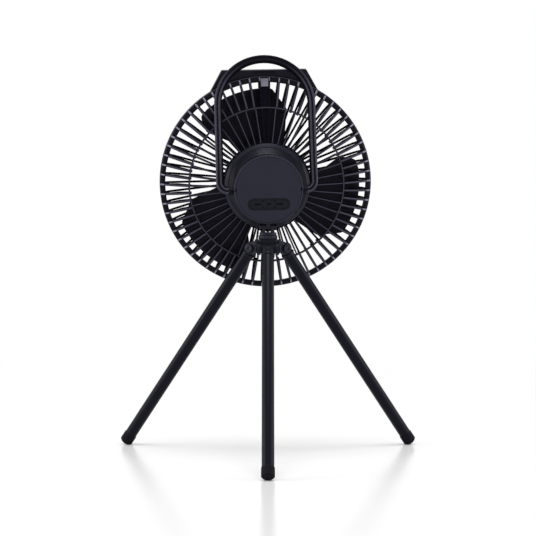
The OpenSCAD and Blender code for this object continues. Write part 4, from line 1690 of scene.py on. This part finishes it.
@dataclass
class FrontGrille(Grille):
    """The front grille: straight ribs from a bare badge to the rim, and a block on its rim."""

    rib_width: float = 1.8
    rib_depth: float = 2.8
    corner: float = 12.0
    corner_turn: float = -88.0
    corner_steps: int = 8
    overlap: float = 0.5
    face: Pair = (84.5, 52.5)
    hub: Pair = (21.0, 56.0)
    rim_inner: float = 92.5
    rim_end: float = 45.5
    badge_r: float = 18.0
    block_z: Pair = (40.6, 49.5)
    block_top: Pair = (77.0, 102.1)
    block_foot: Pair = (99.0, 82.0)
    tick_size: Point = (0.45, 2.3, 0.8)
    tick_rise: float = 100.0
    tick_step: float = 0.9
    ticks: int = 23

    def build(self) -> Iterator[Part]:
        """Build the ribs, the rim, the block and the badge.

        Yields:
            Each finished piece.
        """
        ribs, (r, end) = self.rib().copies(self.rib_turns()), self.hub
        seat = self.badge_r + 0.1
        profile = [(4, 52.7), (r, 52.7, 0.5), (r, end, 0.6), (seat, end), (seat, 53.9), (4, 53.9)]
        ribs.join(Work.lathe("front_hub", profile)).called("front_ribs")
        # Painted light: the ribs' front faces are painted lighter, as lit faces.
        ribs.paint(Paint.GRILLE, (Paint.RIB_BACK, lambda face: face.normal.z > 0.25))
        yield ribs.lay(self.stance.fan()).fit("head", "grille_plastic", "front_grille")
        r, inner, end = self.guard_r, self.rim_inner, self.rim_end
        profile = [
            (inner, 40.2), (r - 0.4, 40.2), (r - 0.4, 40.5), (r, 40.6, 0.2), (r, end, 0.7),
            (inner, end, 0.7),
        ]
        rim = Work.lathe("front_rim", profile, 192).lay(self.stance.fan())
        # The front rim takes the same painted shade as the rear rim.
        yield rim.paint(Paint.RIM).fit("head", "grille_plastic", "front_grille")
        yield self.block()
        yield self.badge()

    def rib(self) -> Work:
        """Sweep one rib: straight out from the hub, then a quarter turn round the corner.

        Returns:
            The rib on the bench, standing along x.
        """
        (end, z_end), (start, z_start) = self.face, self.hub
        start -= self.overlap
        section = bar(self.rib_width / 2, -self.rib_depth, 0, 0.3, 0.6)
        rib = Work.chain("front_rib", [(start, y, z_start + d) for y, d in section])
        rib.extrude(end - start, 0, z_end - z_start)
        centre = (end, 0, z_end - self.corner)
        return rib.spin(self.corner_steps, math.radians(self.corner_turn), centre, (0, 1, 0)).cap()

    def block(self) -> Part:
        """Build the block with a flat top, and the fine ticks in a strip on its rear face.

        Returns:
            The finished piece.
        """
        (top, top_y), (foot, foot_y), (low, high) = self.block_top, self.block_foot, self.block_z
        outline = [
            (-foot / 2, -foot_y), (-top / 2, -top_y, 1.6), (top / 2, -top_y, 1.6), (foot / 2, -foot_y)
        ]
        block = Work.plate("rim_block", outline, low, high)
        block.mix(Mix.CUT, Work.cylinder("rim_cutter", self.guard_r - 1.5, 30, 60, 192))
        block.paint(Paint.BLOCK).soften(0.6, 3)
        tick = Work.block("tick_cutter", self.tick_size, (0, -self.tick_rise, low))
        first = -self.tick_step * (self.ticks - 1) / 2
        tick.copies(shift(first + self.tick_step * i, 0, 0) for i in range(self.ticks))
        block.mix(Mix.CUT, tick.paint(Paint.MARK))
        return block.lay(self.stance.fan()).fit("head", "grille_plastic", "front_grille")

    def badge(self) -> Part:
        """Turn the bare badge, slightly domed with a fine ring near its edge.

        Returns:
            The finished piece.
        """
        r = self.badge_r
        profile = [
            (0, 54.0), (r, 54.0), (r, 56.3, 0.3), (16.0, 56.45), (15.8, 56.2), (15.4, 56.2),
            (15.2, 56.48), (8, 56.58), (0, 56.6),
        ]
        badge = Work.lathe("badge_disc", profile, closed=False).lay(self.stance.fan())
        return badge.paint(Paint.BADGE).fit("head", "badge_plastic", "front_badge")


# ---- Rotor ----------------------------------------------------------------------------------


@dataclass
class Rotor(Group):
    """The three-blade impeller that turns on the motor."""

    blades: int = 3
    tip_r: float = 85.6
    hub_r: float = 22.0
    hub_z: Pair = (16.0, 46.0)
    bell_r: float = 16.1
    bore_r: float = 1.5
    pitch: float = 8.0
    camber_r: float = 300.0
    chord_half: float = 78.0
    chord_steps: int = 20
    root: float = 16.0
    span_step: float = 4.0
    span_steps: int = 18
    middle: float = 38.2
    thickness: float = 1.8
    line: float = 102.0
    root_fillet: float = 1.5
    tip_angles: tuple[int, int, int] = (89, 131, 3)
    leading: tuple[Pair, ...] = ((12, 60), (39, 63), (70, 73), (76, 79), (85, 85))
    trailing: tuple[Pair, ...] = (
        (84.5, 133.2), (80, 135.5), (71, 138.5), (57, 134), (51, 131), (39, 130), (12, 132)
    )

    def build(self) -> Iterator[Part]:
        """Build the impeller and its nut.

        Yields:
            Each finished piece.
        """
        (low, high), r, bell, bore = self.hub_z, self.hub_r, self.bell_r, self.bore_r
        profile = [
            (bore, 23.0), (bell, 23.0), (bell, low), (r, low, 0.4), (r, high, 2.2), (12.5, high),
            (12.0, high - 0.5), (bore, high - 0.5),
        ]
        hub = Work.lathe("impeller", profile)
        step = 360 / self.blades
        blades = self.blade().copies(clock(self.line + i * step) for i in range(self.blades))
        blades.join(hub).called("impeller")
        blades.lay(self.stance.fan()).paint(Paint.BLADE)
        yield blades.fit("rotor", "blade_plastic", "blade")
        yield cast("blade_nut", 0.3, Paint.NUT, "rotor", "nut_plastic")

    def blade(self) -> Work:
        """Cut one blade's rounded outline out of a cambered, pitched sheet.

        Returns:
            The blade on the bench, pointing along x.
        """
        reach, camber, count = math.asin(self.chord_half / self.camber_r), self.camber_r, self.chord_steps
        arc = []
        for side in (1, -1):
            r = camber + side * (self.thickness / 2)
            for step in range(-count * side, (count + 1) * side, side):
                swing = reach * (step / count)
                arc.append((self.root, r * math.sin(swing), camber - r * math.cos(swing)))
        sheet = Work.chain("blade", arc)
        bpy.ops.mesh.edge_face_add()
        for _ in range(self.span_steps):
            sheet.extrude(self.span_step, 0, 0)
        sheet.tidy().move(shift(0, 0, self.middle) @ turned("X", self.pitch))
        outline = self.edge(self.leading[:-1], 6.0) + self.edge(self.leading[-1:], 4.0)
        outline += self.edge([(self.tip_r, angle) for angle in range(*self.tip_angles)], 0)
        outline += self.edge(self.trailing, 3.0)
        return sheet.mix(Mix.KEEP, Work.plate("blade_outline", outline, 0, 90)).soften(0.5, 3)

    def edge(self, places: Sequence[Pair], fillet: float) -> list[Point]:
        """Work out a stretch of the blade's outline.

        Args:
            places: Its corners, each as radius and clock angle.
            fillet: The fillet's radius at the corners outside the hub.

        Returns:
            The corners as (x, y, fillet radius).
        """
        corners = []
        for r, angle in places:
            turn = math.radians(self.line - angle)
            soft = self.root_fillet if r < self.hub_r else fillet
            corners.append((r * math.cos(turn), r * math.sin(turn), soft))
        return corners


# ---- Handle ---------------------------------------------------------------------------------


@dataclass
class Handle(Group):
    """The carrying handle: a grooved bar bent into an arch, lined with rubber on the inside."""

    half: float = 42.2
    arch_y: float = 78.9
    corner: float = 7.5
    corner_steps: int = 10
    arch_steps: int = 56
    outer: float = 3.4
    seam: float = -2.1
    inner: float = -3.4
    depth: float = 2.7
    groove: float = 1.7
    groove_depth: float = 1.2
    boss: Point = (31.0, 36.0, 3.6)
    screw_r: float = 2.0

    def build(self) -> Iterator[Part]:
        """Build the bar with its bosses, and the lining.

        Yields:
            Each finished piece.
        """
        mid, edge, lip = (self.outer + self.seam) / 2, self.groove / 2, self.depth - self.groove_depth
        deep, near, far = self.depth, mid - edge, mid + edge
        section = [
            (self.seam, -deep, 0.5), (self.outer, -deep, 1.1), (self.outer, deep, 1.1), (far, deep, 0.6),
            (far - 0.15, lip, 0.2), (near + 0.15, lip, 0.2), (near, deep, 0.6), (self.seam, deep, 0.7),
        ]
        aside = shift(self.stance.handle_shift, 0, 0)
        bar = self.sweep("handle_bar", section)
        # Painted shade: the groove's floor is painted darker than the bar.
        bar.paint(Paint.HANDLE, (Paint.GROOVE, lambda face: abs(face.center.z - lip) < 0.5))
        bar.move(aside).join(*self.bosses()).lay(self.stance.handle())
        yield bar.fit("handle", "handle_plastic", "handle")
        top, wide, narrow = self.seam + 0.3, deep - 0.25, deep - 0.45
        section = [(self.inner, -narrow, 0.6), (top, -wide), (top, wide), (self.inner, narrow, 0.6)]
        lining = self.sweep("handle_lining", section).lay(self.stance.handle() @ aside)
        yield lining.paint(Paint.LINING).fit("handle", "handle_plastic", "handle")

    def sweep(self, name: str, section: Corners) -> Work:
        """Sweep a section along the handle: corner, arm, arch, arm, corner.

        Args:
            name: What the piece is called.
            section: Corners as (distance outwards, depth) with fillets.

        Returns:
            The swept piece on the bench, in the handle's frame.
        """
        corner, start, rise = self.corner, self.half - self.corner, self.arch_y - self.corner
        work = Work.chain(name, [(-start, -u, z) for u, z in rounded(section, steps=3)])
        work.spin(self.corner_steps, math.pi / 2, (-start, corner, 0)).extrude(0, rise, 0)
        work.spin(self.arch_steps, math.pi, (0, self.arch_y, 0)).extrude(0, -rise, 0)
        return work.spin(self.corner_steps, math.pi / 2, (start, corner, 0)).cap()

    def bosses(self) -> list[Work]:
        """Turn the two bosses that the handle's screws hold.

        Returns:
            The bosses, in place.
        """
        (near, far, r), bore, pieces = self.boss, self.screw_r, []
        profile = [
            (bore, near), (r, near, 0.5), (r, far, 1.4), (0, far), (0, far - 1), (bore, far - 1.1)
        ]
        for side in (-1, 1):
            # The bosses take the handle's painted shade, where the handle meets the barrel.
            boss = Work.lathe("handle_boss", profile, 48).paint(Paint.GROOVE)
            pieces.append(boss.move(turned("Y", side * 90)))
        return pieces


# ---- Inside ---------------------------------------------------------------------------------


@dataclass
class Internals(Group):
    """What can't be seen from outside, and keeps its plain shapes: only its finishes."""

    finishes: tuple[tuple[Paint, tuple[str, ...]], ...] = (
        (Paint.SCREW, ("bracket_screws", "grille_screws", "handle_screws")),
        (Paint.BOARD, ("control_board",)),
        (Paint.NICKEL, ("dome_switches", "charging_socket")),
        (Paint.TRAY, ("battery_tray",)),
        (Paint.CELL, ("battery_cells",)),
        (Paint.IRON, ("motor_core",)),
        (Paint.COPPER, ("motor_windings",)),
        (Paint.MAGNET, ("rotor_magnets",)),
        (Paint.STEEL, ("tilt_plunger", "handle_washers", "motor_bearings", "rotor_shaft", "rotor_bell")),
    )

    def build(self) -> Iterator[Part]:
        """Dress the inner pieces.

        Yields:
            Each dressed piece.
        """
        for paint, nodes in self.finishes:
            for part in (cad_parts[node] for node in nodes):
                for slot in part.material_slots:
                    slot.material = paint.value.material()
                yield part


# ---- Studio ---------------------------------------------------------------------------------


@dataclass(frozen=True)
class Lamp:
    """One soft box of the studio."""

    name: str
    place: Point
    aim: Point
    size: Pair
    power: float


@dataclass
class Studio:
    """A pale studio: camera, soft boxes, floor and a white surround."""

    lens: float = 167.1
    sensor: float = 36.0
    clip: Pair = (0.05, 50)
    camera_place: Point = (0.0, -2.1903, 0.3119)
    camera_pitch: float = 86.34
    floor_size: float = 16
    floor_roughness: float = 0.2
    floor_gloss: float = 0.1
    floor_fade: Pair = (0.35, 0.9)
    floor_greys: Pair = (0.93, 0.96)
    surround: float = 0.62
    lamps: tuple[Lamp, ...] = (
        Lamp("key_box", (-2.0, -0.2, 0.7), (0, 0, 0.22), (1.0, 1.2), 16.0),
        Lamp("fill_box", (2.0, -0.2, 0.6), (0, 0, 0.22), (1.0, 1.2), 11.0),
        Lamp("top_box", (0.0, -0.1, 2.1), (0, 0, 0.2), (0.9, 0.9), 16.0),
    )

    def build(self) -> None:
        """Set up the camera, the lamps, the floor and the world."""
        bpy.context.scene.view_settings.view_transform = "Standard"
        self.camera()
        for lamp in self.lamps:
            self.box(lamp)
        self.floor()
        self.world()

    def stand(self, name: str, data: bpy.types.ID, place: Point) -> Part:
        """Stand a camera or a lamp in the studio.

        Args:
            name: What it is called.
            data: The camera or the lamp.
            place: Where it stands.

        Returns:
            Its object.
        """
        stood = bpy.data.objects.new(name, data)
        bpy.context.scene.collection.objects.link(stood)
        stood.location = place
        return stood

    def camera(self) -> None:
        """Stand the camera behind the fan, a little above its middle."""
        data = bpy.data.cameras.new("camera")
        data.lens, data.sensor_width = self.lens, self.sensor
        data.clip_start, data.clip_end = self.clip
        camera = self.stand("camera", data, self.camera_place)
        camera.rotation_euler = (math.radians(self.camera_pitch), 0, 0)
        bpy.context.scene.camera = camera

    def box(self, lamp: Lamp) -> None:
        """Hang one soft box.

        Args:
            lamp: Its size, place and power.
        """
        data = bpy.data.lights.new(lamp.name, "AREA")
        data.shape, data.energy = "RECTANGLE", lamp.power
        data.size, data.size_y = lamp.size
        aim = Vector(lamp.aim) - Vector(lamp.place)
        turn = aim.to_track_quat("-Z", "Y").to_euler()
        self.stand(lamp.name, data, lamp.place).rotation_euler = turn

    def floor(self) -> None:
        """Lay a pale floor that keeps the fan's shadow and fades to white far away."""
        clear_bench()
        bpy.ops.mesh.primitive_plane_add(size=self.floor_size)
        floor = bpy.context.object
        floor.name = "floor"
        graph = Graph("floor")
        length = graph.node("VectorMath", graph.where(), 0)
        length.operation = "LENGTH"
        far = graph.ranged(length.outputs["Value"], 0.0, 1.0, *self.floor_fade)
        grain = graph.noise(graph.place(), 1.5)
        graph.drive("Base Color", graph.blend(grain, *((grey,) * 3 for grey in self.floor_greys)))
        graph.drive("Roughness", self.floor_roughness)
        graph.drive("Specular IOR Level", self.floor_gloss)
        mix = graph.node("MixShader", far, 0)
        graph.link(graph.shader.outputs[0], mix.inputs[1])
        graph.link(graph.nodes.new("ShaderNodeEmission").outputs[0], mix.inputs[2])
        graph.link(mix.outputs[0], graph.out.inputs[0])
        floor.data.materials.append(graph.made)

    def world(self) -> None:
        """Surround the studio with white: bright to look at, softer as a lamp."""
        world = bpy.data.worlds.new("surround")
        bpy.context.scene.world = world
        world.use_nodes = True
        nodes, link = world.node_tree.nodes, world.node_tree.links.new
        nodes.clear()
        rays = nodes.new("ShaderNodeLightPath")
        seen = rays.outputs["Is Camera Ray"]
        for kind in ("Is Glossy Ray", "Is Transmission Ray"):
            either = nodes.new("ShaderNodeMath")
            either.operation = "MAXIMUM"
            link(seen, either.inputs[0])
            link(rays.outputs[kind], either.inputs[1])
            seen = either.outputs[0]
        strength = nodes.new("ShaderNodeMapRange")
        strength.inputs["To Min"].default_value = self.surround
        strength.inputs["To Max"].default_value = 1.0
        link(seen, strength.inputs["Value"])
        back = nodes.new("ShaderNodeBackground")
        back.inputs["Color"].default_value = (1, 1, 1, 1)
        link(strength.outputs[0], back.inputs["Strength"])
        link(back.outputs[0], nodes.new("ShaderNodeOutputWorld").inputs[0])


def main() -> None:
    """Build the fan's pieces in order and report each one."""
    logging.basicConfig(level=logging.INFO, format="%(message)s")
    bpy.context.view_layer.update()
    Studio().build()
    kinds = Tripod, Neck, Housing, ButtonPanel, RearGrille, FrontGrille, Rotor, Handle, Internals
    for kind in kinds:
        for part in kind().build():
            log.info("%s: %s, %d faces", kind.__name__, part.name, len(part.data.polygons))


if __name__ == "__main__":
    main()
